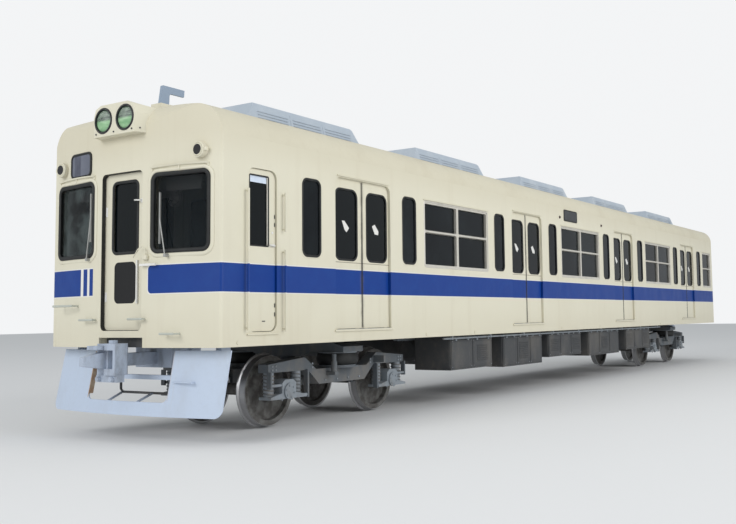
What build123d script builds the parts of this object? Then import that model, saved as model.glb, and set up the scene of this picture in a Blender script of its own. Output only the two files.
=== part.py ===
from build123d import *
import os
from math import asin, cos, pi, sin, sqrt

os.makedirs("parts", exist_ok=True)

# Four-door commuter control car on two four-wheel bogies, in millimetres.
# X runs forward to the cab, Y to the left, Z up from the lowest point of the wheel flanges.

# Driving dimensions of the body
body_front = 9750
body_rear = -9750
half_width = 1400
wall = 110
side_bottom = 1040
floor_top = side_bottom + 152
floor_thickness = 42
wall_top = side_bottom + 2290
roof_crown = side_bottom + 2700
roof_shoulder = 330
roof_thickness = 90
end_wall = 100
front_radius = 6484
front_wall = 110
front_edge_round = 40
forehead_radius = 300
cab_split = 9228

# Running clearance between moving pieces, and the seat left between pieces that carry each other
clearance = 6
seat_gap = 0.3

# Passenger doorways: centres along the body, two leaves sliding into wall pockets
door_x = [7072, 2281, -2510, -7300]
door_half = 595
door_top = side_bottom + 2045
door_round = 100
door_travel = 585
leaf_overlap = 25
leaf_thickness = 32
outer_skin = 32
pocket_depth = leaf_thickness + 2 * clearance
pocket_reach = door_half + leaf_overlap + door_travel + 10
pocket_head = 50
leaf_window_low = side_bottom + 1021
leaf_window_high = side_bottom + 1907
leaf_window_inner = 105
leaf_window_outer = 550
leaf_window_round = 60
leaf_glass = 5
shoe_length = 60

# Side windows
pocket_window_offset = 1053
pocket_window_half = 170
pocket_window_low = side_bottom + 1021
pocket_window_high = side_bottom + 1949
pocket_window_round = 70
unit_window_half = 949
unit_window_low = side_bottom + 1002
unit_window_high = side_bottom + 1946
unit_window_round = 45
end_window_x = -9172
end_window_half = 412
sash_width = 34
sash_depth = 40
sash_recess = 8
mullion_width = 60
transom_height = side_bottom + 1510
transom_width = 40
seal_width = 22
seal_depth = 14
glass = 5

# Crew doors, hinged at their front edge
crew_door_rear = 8735
crew_door_front = 9205
crew_door_low = floor_top
crew_door_high = side_bottom + 1960
crew_window_low = side_bottom + 1104
crew_window_high = side_bottom + 1884
crew_window_rear = 8850
crew_window_front = 9150
hinged_door = 40
crew_door_recess = 25
hinged_door_round = 60
crew_door_round = 100
crew_window_round = 12
barrel_radius = clearance - seat_gap

# Front wall: two windows and the centre door
front_window_inner = 480
front_window_outer = 1262
front_window_low = side_bottom + 1027
front_window_high = side_bottom + 1898
front_window_round = 90
front_door_half = 340
front_door_low = side_bottom + 185
front_door_high = side_bottom + 1960
front_door_face = 9687
front_door_window_half = 205
front_door_window_low = side_bottom + 1055
front_door_window_high = side_bottom + 1855
notch_half = 360
notch_height = 110

# Rear wall, its door and its gangway
rear_door_face = body_rear + 30 + hinged_door
rear_door_half = 400
rear_door_high = floor_top + 1850
rear_window_inner = 620
rear_window_outer = 1130
rear_window_low = side_bottom + 1030
rear_window_high = side_bottom + 1900
gangway_reach = 200
gangway_width = 110
gangway_foot = 60
bellows_pitch = 50

# Bogies
bogie_x = [6900, -6900]
wheel_base = 2200
wheel_radius = 430
flange_depth = 28
wheel_back = 495
wheel_width = 125
axle_radius = 75
journal_radius = 60
journal_reach = 905
axle_height = wheel_radius + flange_depth
side_frame_inner = 740
side_frame_outer = 900
coil_radius = 62
coil_y = 826
link_y = 918
link_radius = 18
coil_offset = 245
air_spring_radius = 260
air_spring_y = 820
spring_seat = 710
bolster_top = side_bottom - 30
bolster_depth = 120
bolster_half_width = 210
centre_plate_radius = 180
bearer_y = 815
bearer_radius = 75
anchor_y = 1045
anchor_z = 762
anchor_reach = 700
anchor_radius = 24
damper_x = 300
damper_y = 1000
damper_foot = 645
damper_radius = 38
box_cap_radius = 98
box_cap = 22

# Couplers and skirt
coupler_height = flange_depth + 880
coupler_face = 9950
coupler_horn = 210
skirt_top = side_bottom - 35
skirt_bottom = side_bottom - 738
skirt_half = half_width - 25
skirt_thickness = 14
skirt_top_setback = 175
skirt_bottom_setback = 32
skirt_open_half = 0.473 * skirt_half
skirt_open_low = side_bottom - 590
skirt_round = 95

wall_middle = half_width - outer_skin - pocket_depth / 2
inner_face = half_width - wall
floor_under = floor_top - floor_thickness
saloon_front = 8520
partition = 40
leaf_bottom = floor_top + clearance
leaf_top = door_top + pocket_head - clearance
unit_window_x = [(door_x[i] + door_x[i + 1]) / 2 for i in range(len(door_x) - 1)]
pocket_window_x = [x + side * pocket_window_offset for x in door_x for side in (1, -1)]


def save(part, label):
    part.label = label
    export_step(part, f"parts/{label}.step")


def front_at(y, inset=0.0):
    """Where the bowed front stands at a distance y from the centreline."""
    radius = front_radius - inset
    return body_front - front_radius + sqrt(radius**2 - y**2)


def body_outline(inset, low):
    """Half-round body section: straight sides, shoulder arcs and a flat crown arc."""
    width = half_width - inset
    crown = roof_crown - inset
    shoulder = roof_shoulder - inset
    across = width - shoulder
    fall = wall_top - crown
    crown_radius = (across**2 + fall**2 - shoulder**2) / (2 * (crown - wall_top - shoulder))
    turn = asin(across / (crown_radius - shoulder))
    meet_y = crown_radius * sin(turn)
    meet_z = crown - crown_radius + crown_radius * cos(turn)
    half_turn = (turn + pi / 2) / 2
    bend_y = across + shoulder * sin(half_turn)
    bend_z = wall_top + shoulder * cos(half_turn)
    Line((width, low), (width, wall_top))
    ThreePointArc((width, wall_top), (bend_y, bend_z), (meet_y, meet_z))
    ThreePointArc((meet_y, meet_z), (0, crown), (-meet_y, meet_z))
    ThreePointArc((-meet_y, meet_z), (-bend_y, bend_z), (-width, wall_top))
    Line((-width, wall_top), (-width, low))
    Line((-width, low), (width, low))


def body_block(inset, low, x_rear, x_front):
    """The body section run between two stations."""
    with BuildPart() as block:
        with BuildSketch(Plane.YZ.offset(x_rear)):
            with BuildLine():
                body_outline(inset, low)
            make_face()
        extrude(amount=x_front - x_rear)
    return block.part


def bowed_slab(depth_out, depth_in, low, high, half):
    """A slab between two arcs concentric with the bowed front."""
    outer = front_radius - depth_out
    inner = front_radius - depth_in
    centre = body_front - front_radius
    with BuildPart() as slab:
        with BuildSketch(Plane.XY.offset(low)):
            with BuildLine():
                out_x = centre + sqrt(outer**2 - half**2)
                in_x = centre + sqrt(inner**2 - half**2)
                ThreePointArc((out_x, -half), (centre + outer, 0), (out_x, half))
                Line((out_x, half), (in_x, half))
                ThreePointArc((in_x, half), (centre + inner, 0), (in_x, -half))
                Line((in_x, -half), (out_x, -half))
            make_face()
        extrude(amount=high - low)
    return slab.part


def window_block(inner, outer, low, high, corner, x_from, x_to):
    """A round-cornered block through an end wall."""
    with BuildPart() as block:
        with BuildSketch(Plane.YZ.offset(x_from)):
            with Locations(((inner + outer) / 2, (low + high) / 2)):
                RectangleRounded(abs(outer - inner), high - low, corner)
        extrude(amount=x_to - x_from)
    return block.part


def box_between(x, y, z, mode=Mode.ADD):
    """A box from pairs of limits."""
    with Locations(((x[0] + x[1]) / 2, (y[0] + y[1]) / 2, (z[0] + z[1]) / 2)):
        Box(abs(x[1] - x[0]), abs(y[1] - y[0]), abs(z[1] - z[0]), mode=mode)


def rod(a, b, radius):
    """A round bar between two points."""
    start = Vector(*a)
    along = Vector(*b) - start
    with Locations(Plane(origin=start, z_dir=along).location):
        Cylinder(radius, along.length, align=(Align.CENTER, Align.CENTER, Align.MIN))


# Side walls with doorways, windows and the pockets that take the leaves
with BuildPart() as side_wall_left:
    with BuildSketch(Plane.XZ.offset(-half_width)):
        wall_rear = body_rear + end_wall
        with Locations(((wall_rear + cab_split) / 2, (side_bottom + wall_top) / 2)):
            Rectangle(cab_split - wall_rear, wall_top - side_bottom)
        with Locations(*[(x, (floor_top + door_top - door_round) / 2) for x in door_x]):
            Rectangle(2 * door_half, door_top - door_round - floor_top, mode=Mode.SUBTRACT)
        with Locations(*[(x, door_top - 2 * door_round) for x in door_x]):
            RectangleRounded(2 * door_half, 4 * door_round, door_round, mode=Mode.SUBTRACT)
        with Locations(*[(x, (pocket_window_low + pocket_window_high) / 2) for x in pocket_window_x]):
            RectangleRounded(2 * pocket_window_half, pocket_window_high - pocket_window_low,
                             pocket_window_round, mode=Mode.SUBTRACT)
        with Locations(*[(x, (unit_window_low + unit_window_high) / 2) for x in unit_window_x]):
            RectangleRounded(2 * unit_window_half, unit_window_high - unit_window_low,
                             unit_window_round, mode=Mode.SUBTRACT)
        with Locations((end_window_x, (unit_window_low + unit_window_high) / 2)):
            RectangleRounded(2 * end_window_half, unit_window_high - unit_window_low,
                             unit_window_round, mode=Mode.SUBTRACT)
        with Locations(((crew_door_rear + crew_door_front) / 2, (crew_door_low + crew_door_high) / 2)):
            RectangleRounded(crew_door_front - crew_door_rear, crew_door_high - crew_door_low,
                             crew_door_round, mode=Mode.SUBTRACT)
    extrude(amount=wall)
    for x in door_x:
        box_between((x - pocket_reach, x + pocket_reach),
                    (wall_middle - pocket_depth / 2, wall_middle + pocket_depth / 2),
                    (floor_top, door_top + pocket_head), mode=Mode.SUBTRACT)
    # Square corners behind the lip, where the hinged door turns
    box_between((crew_door_rear, crew_door_front), (inner_face - 1, half_width - crew_door_recess),
                (crew_door_low, crew_door_high), mode=Mode.SUBTRACT)
save(side_wall_left.part, "side_wall_left")

with BuildPart() as side_wall_right:
    mirror(side_wall_left.part, about=Plane.XZ)
save(side_wall_right.part, "side_wall_right")

# Roof shell between the rear wall and the cab
with BuildPart() as roof_shell:
    add(body_block(0, side_bottom, body_rear + end_wall, cab_split))
    add(body_block(roof_thickness, side_bottom - 1, body_rear + end_wall - 1, cab_split + 1),
        mode=Mode.SUBTRACT)
    box_between((body_rear, body_front), (-half_width - 1, half_width + 1), (side_bottom - 1, wall_top),
                mode=Mode.SUBTRACT)
save(roof_shell.part, "roof_shell")

def cab_block(inset, low, x_rear, edge_round):
    """Solid cab shape: bowed in plan, body section across, forehead rounded along the roof."""
    half = half_width - inset
    face = body_front - inset
    top = roof_crown - inset
    bend = forehead_radius - inset
    corner_x = front_at(half, inset)
    with BuildPart() as block:
        with BuildSketch(Plane.XY.offset(low)):
            with BuildLine():
                ThreePointArc((corner_x, -half), (face, 0), (corner_x, half))
                Line((corner_x, half), (x_rear, half))
                Line((x_rear, half), (x_rear, -half))
                Line((x_rear, -half), (corner_x, -half))
            make_face()
        extrude(amount=top - low)
        if edge_round > 0:
            front_edges = block.edges().filter_by(Axis.Z).sort_by(Axis.X)[-2:]
            fillet(front_edges, edge_round)
        add(body_block(inset, low, x_rear, body_front + 1), mode=Mode.INTERSECT)
        with BuildSketch(Plane.XZ.offset(-half_width)):
            with BuildLine():
                Line((x_rear, low), (face, low))
                Line((face, low), (face, top - bend))
                RadiusArc((face, top - bend), (face - bend, top), -bend)
                Line((face - bend, top), (x_rear, top))
                Line((x_rear, top), (x_rear, low))
            make_face()
        extrude(amount=2 * half_width, mode=Mode.INTERSECT)
    return block.part


# Cab end: bowed front, rounded forehead and short side returns
with BuildPart() as cab_end:
    add(cab_block(0, side_bottom, cab_split, front_edge_round))
    add(cab_block(front_wall, side_bottom - 1, cab_split - 1, 0), mode=Mode.SUBTRACT)
    for side in (1, -1):
        add(window_block(side * front_window_inner, side * front_window_outer, front_window_low,
                         front_window_high, front_window_round, 9300, 9800), mode=Mode.SUBTRACT)
    add(window_block(-front_door_half, front_door_half, front_door_low, front_door_high,
                     hinged_door_round, 9300, 9800), mode=Mode.SUBTRACT)
    box_between((9500, front_door_face), (-front_door_half, front_door_half),
                (front_door_low, front_door_high), mode=Mode.SUBTRACT)
    box_between((9500, 9800), (-notch_half, notch_half), (side_bottom - 1, side_bottom + notch_height),
                mode=Mode.SUBTRACT)
save(cab_end.part, "cab_end")

# Rear end wall with its doorway and two windows
with BuildPart() as rear_end:
    add(body_block(0, side_bottom, body_rear, body_rear + end_wall))
    add(window_block(-rear_door_half, rear_door_half, floor_top, rear_door_high, hinged_door_round,
                     body_rear - 10, body_rear + end_wall + 10), mode=Mode.SUBTRACT)
    for side in (1, -1):
        add(window_block(side * rear_window_inner, side * rear_window_outer, rear_window_low,
                         rear_window_high, pocket_window_round, body_rear - 10, body_rear + end_wall + 10),
            mode=Mode.SUBTRACT)
    box_between((rear_door_face - hinged_door, body_rear + end_wall + 10),
                (-rear_door_half, rear_door_half), (floor_top, rear_door_high), mode=Mode.SUBTRACT)
    box_between((body_rear - 1, body_rear + end_wall + 1), (-notch_half, notch_half),
                (side_bottom - 1, side_bottom + notch_height), mode=Mode.SUBTRACT)
save(rear_end.part, "rear_end")

# Underframe: end sills, cross beams, side sills and body bolsters with centre plates and side bearers
frame_rear = body_rear + end_wall
frame_front = front_at(inner_face, front_wall)
cross_beams = [5200, 3900, 2600, 1300, 0, -1300, -2600, -3900, -5200, 8500, -8500]
sill_width = 130
beam_width = 90
end_sill = 200
with BuildPart() as underframe:
    for side in (1, -1):
        box_between((frame_rear, frame_front), (side * (inner_face - sill_width), side * inner_face),
                    (side_bottom, floor_under))
    for x in cross_beams:
        box_between((x - beam_width / 2, x + beam_width / 2), (-inner_face, inner_face),
                    (side_bottom, floor_under))
    for x in bogie_x:
        box_between((x - 250, x + 250), (-inner_face, inner_face), (side_bottom, floor_under))
    box_between((frame_rear, frame_rear + end_sill), (-inner_face, inner_face), (side_bottom, floor_under))
    box_between((frame_front - end_sill, body_front), (-inner_face, inner_face), (side_bottom, floor_under))
    for end in ((frame_rear, bogie_x[1]), (bogie_x[0], frame_front)):
        for side in (1, -1):
            box_between(end, (side * 260, side * 360), (side_bottom, floor_under))
    add(cab_block(front_wall, side_bottom - 1, frame_rear, 0), mode=Mode.INTERSECT)
    for x in bogie_x:
        for y, radius in ((0, centre_plate_radius), (bearer_y, bearer_radius), (-bearer_y, bearer_radius)):
            with Locations((x, y, (side_bottom + bolster_top + seat_gap) / 2)):
                Cylinder(radius, side_bottom - bolster_top - seat_gap)
save(underframe.part, "underframe")

with BuildPart() as floor:
    box_between((frame_rear, body_front), (-inner_face, inner_face), (floor_under, floor_top))
    add(cab_block(front_wall, side_bottom - 1, frame_rear, 0), mode=Mode.INTERSECT)
save(floor.part, "floor")


# Passenger door leaves: a slab with a window, a pane and two guide shoes
def door_leaf(x, side, toward):
    """A leaf closed at x, on one side of the body, opening toward +X or -X."""
    face = side * wall_middle
    first = x + toward * 1.0
    last = x + toward * (door_half + leaf_overlap)
    window_a = x + toward * leaf_window_inner
    window_b = x + toward * leaf_window_outer
    window_size = (abs(window_b - window_a), leaf_window_high - leaf_window_low)
    window_at = ((window_a + window_b) / 2, (leaf_window_low + leaf_window_high) / 2)
    with BuildPart() as leaf:
        with BuildSketch(Plane.XZ.offset(-face - leaf_thickness / 2)):
            with Locations(((first + last) / 2, (leaf_bottom + leaf_top) / 2)):
                Rectangle(abs(last - first), leaf_top - leaf_bottom)
            with Locations(window_at):
                RectangleRounded(*window_size, leaf_window_round, mode=Mode.SUBTRACT)
        extrude(amount=leaf_thickness)
        for share in (0.15, 0.85):
            shoe_x = first + (last - first) * share
            box_between((shoe_x - shoe_length / 2, shoe_x + shoe_length / 2), (face - 8, face + 8),
                        (floor_top + seat_gap, leaf_bottom + 2))
        with BuildSketch(Plane.XZ.offset(-face - leaf_glass / 2)):
            with Locations(window_at):
                RectangleRounded(window_size[0] - 2 * seat_gap, window_size[1] - 2 * seat_gap,
                                 leaf_window_round - seat_gap)
        extrude(amount=leaf_glass)
    return leaf.part


for number, x in enumerate(door_x, start=1):
    for side_name, side in (("left", 1), ("right", -1)):
        save(door_leaf(x, side, 1), f"door_{side_name}_{number}_fore")
        save(door_leaf(x, side, -1), f"door_{side_name}_{number}_aft")


# Crew doors, hinged inward at their front edge
def crew_door(side):
    """Crew door with its window and pane."""
    face = side * (half_width - crew_door_recess - hinged_door / 2)
    rear = crew_door_rear + clearance
    front = crew_door_front - clearance
    window_at = ((crew_window_rear + crew_window_front) / 2, (crew_window_low + crew_window_high) / 2)
    window_size = (crew_window_front - crew_window_rear, crew_window_high - crew_window_low)
    with BuildPart() as door:
        with BuildSketch(Plane.XZ.offset(-face - hinged_door / 2)):
            with Locations(((rear + front) / 2, (crew_door_low + crew_door_high) / 2)):
                RectangleRounded(front - rear, crew_door_high - crew_door_low - 2 * clearance,
                                 crew_door_round - clearance)
            with Locations(window_at):
                RectangleRounded(*window_size, crew_window_round, mode=Mode.SUBTRACT)
        extrude(amount=hinged_door)
        with BuildSketch(Plane.XZ.offset(-face - glass / 2)):
            with Locations(window_at):
                RectangleRounded(window_size[0] - 2 * seat_gap, window_size[1] - 2 * seat_gap,
                                 crew_window_round - seat_gap)
        extrude(amount=glass)
        # Hinge barrels on the inner front edge, just clear of the jamb
        for z in (crew_door_low + 350, crew_door_high - 350):
            with Locations((front, face - side * hinged_door / 2, z)):
                Cylinder(barrel_radius, 110)
    return door.part


save(crew_door(1), "crew_door_left")
save(crew_door(-1), "crew_door_right")


# End doors: a slab, its pane and two hinge barrels
def end_door(face_x, hinge_x, half, low, high, window_half, window_low, window_high, hinge_side):
    """A door across the body whose forward face stands at face_x."""
    with BuildPart() as door:
        with BuildSketch(Plane.YZ.offset(face_x - hinged_door)):
            with Locations((0, (low + high) / 2)):
                RectangleRounded(2 * (half - clearance), high - low - 2 * clearance,
                                 hinged_door_round - clearance)
            with Locations((0, (window_low + window_high) / 2)):
                RectangleRounded(2 * window_half, window_high - window_low, leaf_window_round,
                                 mode=Mode.SUBTRACT)
        extrude(amount=hinged_door)
        with BuildSketch(Plane.YZ.offset(face_x - hinged_door / 2 - glass / 2)):
            with Locations((0, (window_low + window_high) / 2)):
                RectangleRounded(2 * (window_half - seat_gap), window_high - window_low - 2 * seat_gap,
                                 leaf_window_round - seat_gap)
        extrude(amount=glass)
        for z in (low + 350, high - 350):
            with Locations((hinge_x, hinge_side * (half - clearance), z)):
                Cylinder(barrel_radius, 110)
    return door.part


front_gangway_door = end_door(front_door_face, front_door_face - hinged_door, front_door_half,
                              front_door_low, front_door_high, front_door_window_half,
                              front_door_window_low, front_door_window_high, -1)
save(front_gangway_door, "front_gangway_door")

rear_gangway_door = end_door(rear_door_face, rear_door_face, rear_door_half, floor_top, rear_door_high,
                             230, side_bottom + 1030, side_bottom + 1780, -1)
save(rear_gangway_door, "rear_gangway_door")

# Cab partition with a doorway and two windows, and its door
partition_door_half = 300
partition_door_high = floor_top + 1850
with BuildPart() as cab_partition:
    add(body_block(roof_thickness, floor_top, saloon_front, saloon_front + partition))
    with Locations((saloon_front, 0, (floor_top + wall_top) / 2)):
        Box(4 * partition, 2 * (inner_face - seat_gap), 2 * (wall_top - floor_top), mode=Mode.INTERSECT)
    add(window_block(-partition_door_half, partition_door_half, floor_top - 100, partition_door_high,
                     hinged_door_round, saloon_front - 10, saloon_front + partition + 10),
        mode=Mode.SUBTRACT)
    for side in (1, -1):
        add(window_block(side * 480, side * 1100, side_bottom + 1080, side_bottom + 1850, leaf_window_round,
                         saloon_front - 10, saloon_front + partition + 10), mode=Mode.SUBTRACT)
save(cab_partition.part, "cab_partition")

cab_partition_door = end_door(saloon_front + partition, saloon_front, partition_door_half, floor_top,
                              partition_door_high, 190, side_bottom + 1080, side_bottom + 1780, 1)
save(cab_partition_door, "cab_partition_door")


# Window frames of light metal: a ring, a mullion and two transoms to each opening
def sash(x, half, panes):
    """Sliding sash frame of one opening on the left side."""
    middle = (unit_window_low + unit_window_high) / 2
    height = unit_window_high - unit_window_low
    with BuildPart() as frame:
        with BuildSketch(Plane.XZ.offset(-half_width + sash_recess)):
            with Locations((x, middle)):
                RectangleRounded(2 * half, height, unit_window_round)
            pane_width = (2 * half - 2 * sash_width - (panes - 1) * mullion_width) / panes
            for number in range(panes):
                pane_x = x - half + sash_width + pane_width / 2 + number * (pane_width + mullion_width)
                for low, high in ((unit_window_low + sash_width, transom_height - transom_width / 2),
                                  (transom_height + transom_width / 2, unit_window_high - sash_width)):
                    with Locations((pane_x, (low + high) / 2)):
                        RectangleRounded(pane_width, high - low, 18, mode=Mode.SUBTRACT)
        extrude(amount=sash_depth)
    return frame.part


sash_table = [(x, unit_window_half, 2) for x in unit_window_x] + [(end_window_x, end_window_half, 1)]
with BuildPart() as window_frames:
    for x, half, panes in sash_table:
        add(sash(x, half, panes))
    mirror(window_frames.part, about=Plane.XZ)
save(window_frames.part, "window_frames")


def side_ring(x, half, low, high, corner, width, depth, recess):
    """A seal ring standing in an opening of the left wall."""
    with BuildPart() as ring:
        with BuildSketch(Plane.XZ.offset(-half_width + recess)):
            with Locations((x, (low + high) / 2)):
                RectangleRounded(2 * half, high - low, corner)
                RectangleRounded(2 * (half - width), high - low - 2 * width, corner - width,
                                 mode=Mode.SUBTRACT)
        extrude(amount=depth)
    return ring.part


def front_ring(side):
    """The seal of a front window, following the bow of the front."""
    with BuildPart() as ring:
        add(bowed_slab(-4, 34, front_window_low - 1, front_window_high + 1, half_width - 20))
        add(window_block(side * front_window_inner, side * front_window_outer, front_window_low,
                         front_window_high, front_window_round, 9300, 9800), mode=Mode.INTERSECT)
        add(window_block(side * (front_window_inner + 26), side * (front_window_outer - 26),
                         front_window_low + 26, front_window_high - 26, front_window_round - 26,
                         9300, 9800), mode=Mode.SUBTRACT)
    return ring.part


with BuildPart() as window_seals:
    for x in pocket_window_x:
        add(side_ring(x, pocket_window_half, pocket_window_low, pocket_window_high, pocket_window_round,
                      seal_width, seal_depth, -2))
    mirror(window_seals.part, about=Plane.XZ)
    for side in (1, -1):
        add(front_ring(side))
        with BuildSketch(Plane.YZ.offset(body_rear - 2)):
            with Locations((side * (rear_window_inner + rear_window_outer) / 2,
                            (rear_window_low + rear_window_high) / 2)):
                RectangleRounded(rear_window_outer - rear_window_inner, rear_window_high - rear_window_low,
                                 pocket_window_round)
                RectangleRounded(rear_window_outer - rear_window_inner - 2 * seal_width,
                                 rear_window_high - rear_window_low - 2 * seal_width,
                                 pocket_window_round - seal_width, mode=Mode.SUBTRACT)
        extrude(amount=seal_depth)
save(window_seals.part, "window_seals")

# Panes of the fixed windows, each in one piece behind its frame or seal
with BuildPart() as window_glass:
    for x, half, panes in sash_table:
        with BuildSketch(Plane.XZ.offset(-half_width + sash_recess + sash_depth)):
            with Locations((x, (unit_window_low + unit_window_high) / 2)):
                RectangleRounded(2 * (half - 5), unit_window_high - unit_window_low - 10,
                                 unit_window_round - 5)
        extrude(amount=glass)
    for x in pocket_window_x:
        with BuildSketch(Plane.XZ.offset(-half_width + seal_depth - 2)):
            with Locations((x, (pocket_window_low + pocket_window_high) / 2)):
                RectangleRounded(2 * (pocket_window_half - 5), pocket_window_high - pocket_window_low - 10,
                                 pocket_window_round - 5)
        extrude(amount=glass)
        with BuildSketch(Plane.XZ.offset(-inner_face - 12)):
            with Locations((x, (pocket_window_low + pocket_window_high) / 2)):
                RectangleRounded(2 * (pocket_window_half - seat_gap),
                                 pocket_window_high - pocket_window_low - 2 * seat_gap,
                                 pocket_window_round - seat_gap)
        extrude(amount=glass)
    mirror(window_glass.part, about=Plane.XZ)
    for side in (1, -1):
        with BuildPart(mode=Mode.PRIVATE) as pane:
            add(bowed_slab(34, 40, front_window_low, front_window_high, half_width - 20))
            add(window_block(side * (front_window_inner + 5), side * (front_window_outer - 5),
                             front_window_low + 5, front_window_high - 5, front_window_round - 5,
                             9300, 9800), mode=Mode.INTERSECT)
        add(pane.part)
        with BuildSketch(Plane.YZ.offset(body_rear - 2 + seal_depth)):
            with Locations((side * (rear_window_inner + rear_window_outer) / 2,
                            (rear_window_low + rear_window_high) / 2)):
                RectangleRounded(rear_window_outer - rear_window_inner - 10,
                                 rear_window_high - rear_window_low - 10, pocket_window_round - 5)
        extrude(amount=glass)
        with BuildSketch(Plane.YZ.offset(saloon_front + partition / 2)):
            with Locations((side * 790, side_bottom + 1465)):
                RectangleRounded(620 - 2 * seat_gap, 770 - 2 * seat_gap, leaf_window_round - seat_gap)
        extrude(amount=glass)
save(window_glass.part, "window_glass")

# Head lamp housing on the forehead: a rounded box face flaring back into the roof
housing_face = 9865
housing_back = 9275
housing_low = side_bottom + 2370
housing_face_outline = [(338, 0), (345, 220), (312, 320), (226, 358)]
housing_back_outline = [(560, 0), (535, 190), (420, 290), (230, 334)]
lamp_y = 180
lamp_z = side_bottom + 2548
lamp_radius = 140
lamp_depth = 60
with BuildPart() as head_lamp_box:
    for x, outline in ((housing_back, housing_back_outline), (housing_face, housing_face_outline)):
        right_half = [(y, housing_low + z) for y, z in outline]
        left_half = [(-y, z) for y, z in reversed(right_half)]
        with BuildSketch(Plane.YZ.offset(x)):
            with BuildLine():
                Polyline(*right_half, *left_half, close=True)
            make_face()
    loft(ruled=True)
    for side in (1, -1):
        with Locations(Location((housing_face, side * lamp_y, lamp_z), (0, 90, 0))):
            Cylinder(lamp_radius, 2 * lamp_depth, mode=Mode.SUBTRACT)
    add(cab_block(0, side_bottom, cab_split, front_edge_round), mode=Mode.SUBTRACT)
    add(body_block(0, side_bottom, housing_back - 10, cab_split), mode=Mode.SUBTRACT)
save(head_lamp_box.part, "head_lamp_box")

# Head lamps set into the housing, and marker lamps: rims with lenses
rim_width = 12
lens_depth = 22
marker_y = 1150
marker_z = side_bottom + 2103
marker_radius = 88
marker_lens = 62
with BuildPart() as lamps:
    for side in (1, -1):
        with BuildPart(mode=Mode.PRIVATE) as head:
            with Locations(Location((housing_face - (lamp_depth - seat_gap - 6) / 2, side * lamp_y, lamp_z),
                                    (0, 90, 0))):
                Cylinder(lamp_radius - seat_gap, lamp_depth - seat_gap + 6)
            lens_x = housing_face + 6 - lens_depth / 2
            with Locations(Location((lens_x, side * lamp_y, lamp_z), (0, 90, 0))):
                Cylinder(lamp_radius - rim_width, lens_depth, mode=Mode.SUBTRACT)
        add(head.part)
        marker_face = front_at(marker_y + marker_radius) + 1
        with BuildPart(mode=Mode.PRIVATE) as marker:
            with Locations(Location((marker_face + 25, side * marker_y, marker_z), (0, 90, 0))):
                Cylinder(marker_radius, 90)
            with Locations(Location((marker_face + 76, side * marker_y, marker_z), (0, 90, 0))):
                Cylinder(marker_lens, 12)
            add(cab_block(0, side_bottom, cab_split, front_edge_round), mode=Mode.SUBTRACT)
        add(marker.part)
save(lamps.part, "lamps")

# Destination boxes: one on the front above the second window, one on each side
front_sign_y = (-970, -560)
front_sign_z = (side_bottom + 1985, side_bottom + 2250)
side_sign_x = (80, 680)
side_sign_z = (side_bottom + 2075, side_bottom + 2268)
sign_depth = 11
sign_proud = 8
with BuildPart() as destination_boxes:
    with BuildPart(mode=Mode.PRIVATE) as front_sign:
        add(bowed_slab(-sign_proud, 20, *front_sign_z, half_width - 20))
        add(window_block(*front_sign_y, *front_sign_z, 36, 9300, 9800), mode=Mode.INTERSECT)
        add(cab_block(0, side_bottom, cab_split, front_edge_round), mode=Mode.SUBTRACT)
    add(front_sign.part)
    for side in (1, -1):
        box_between(side_sign_x, (side * half_width, side * (half_width + sign_depth)), side_sign_z)
save(destination_boxes.part, "destination_boxes")

# Handrails beside the crew doors, and the short steps low on the front
rail_radius = 13
post_radius = 10
rail_stand = 45
crew_rails = [(9239, side_bottom + 170, side_bottom + 1715), (8640, side_bottom + 1280, side_bottom + 1724),
              (8640, side_bottom + 150, side_bottom + 1070)]
front_steps = [(-1119, -764, side_bottom + 475), (-642, -400, side_bottom + 311),
               (185, 421, side_bottom + 313), (695, 911, side_bottom + 151)]
with BuildPart() as handrails:
    for side in (1, -1):
        for x, low, high in crew_rails:
            reach = side * (half_width + rail_stand)
            rod((x, reach, low), (x, reach, high), rail_radius)
            for z in (low + 2 * rail_radius, high - 2 * rail_radius):
                rod((x, side * half_width, z), (x, reach, z), post_radius)
    for first, last, z in front_steps:
        reach = front_at(0) + rail_stand
        rod((reach, first, z), (reach, last, z), rail_radius)
        for y in (first + 2 * rail_radius, last - 2 * rail_radius):
            rod((front_at(abs(y) - post_radius) + seat_gap, y, z), (reach, y, z), post_radius)
save(handrails.part, "handrails")

# Wipers: a spindle, an arm and a blade to each front window
wiper_table = [(720, side_bottom + 992, 622, side_bottom + 1400),
               (-563, side_bottom + 1004, -512, side_bottom + 1480)]
blade_half = 280
with BuildPart() as wipers:
    for y, z, blade_y, blade_z in wiper_table:
        face = front_at(abs(y) - 20) + seat_gap
        rod((face, y, z), (face + 50, y, z), 20)
        rod((face + 44, y, z), (face + 34, blade_y, blade_z), 7)
        box_between((face + 20, face + 38), (blade_y - 7, blade_y + 7),
                    (blade_z - blade_half, blade_z + blade_half))
save(wipers.part, "wipers")

# Skirt: a bowed plate leaning forward to its foot, open in the middle for the coupler
def leaning_block(depth):
    """Solid behind the skirt's outer face, set back by depth."""
    with BuildPart() as block:
        for z, setback in ((skirt_bottom, skirt_bottom_setback), (skirt_top, skirt_top_setback)):
            edge_x = front_at(skirt_half, setback + depth)
            with BuildSketch(Plane.XY.offset(z)):
                with BuildLine():
                    ThreePointArc((edge_x, -skirt_half), (body_front - setback - depth, 0),
                                  (edge_x, skirt_half))
                    Polyline((edge_x, skirt_half), (cab_split, skirt_half), (cab_split, -skirt_half),
                             (edge_x, -skirt_half))
                make_face()
        loft()
    return block.part


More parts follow.
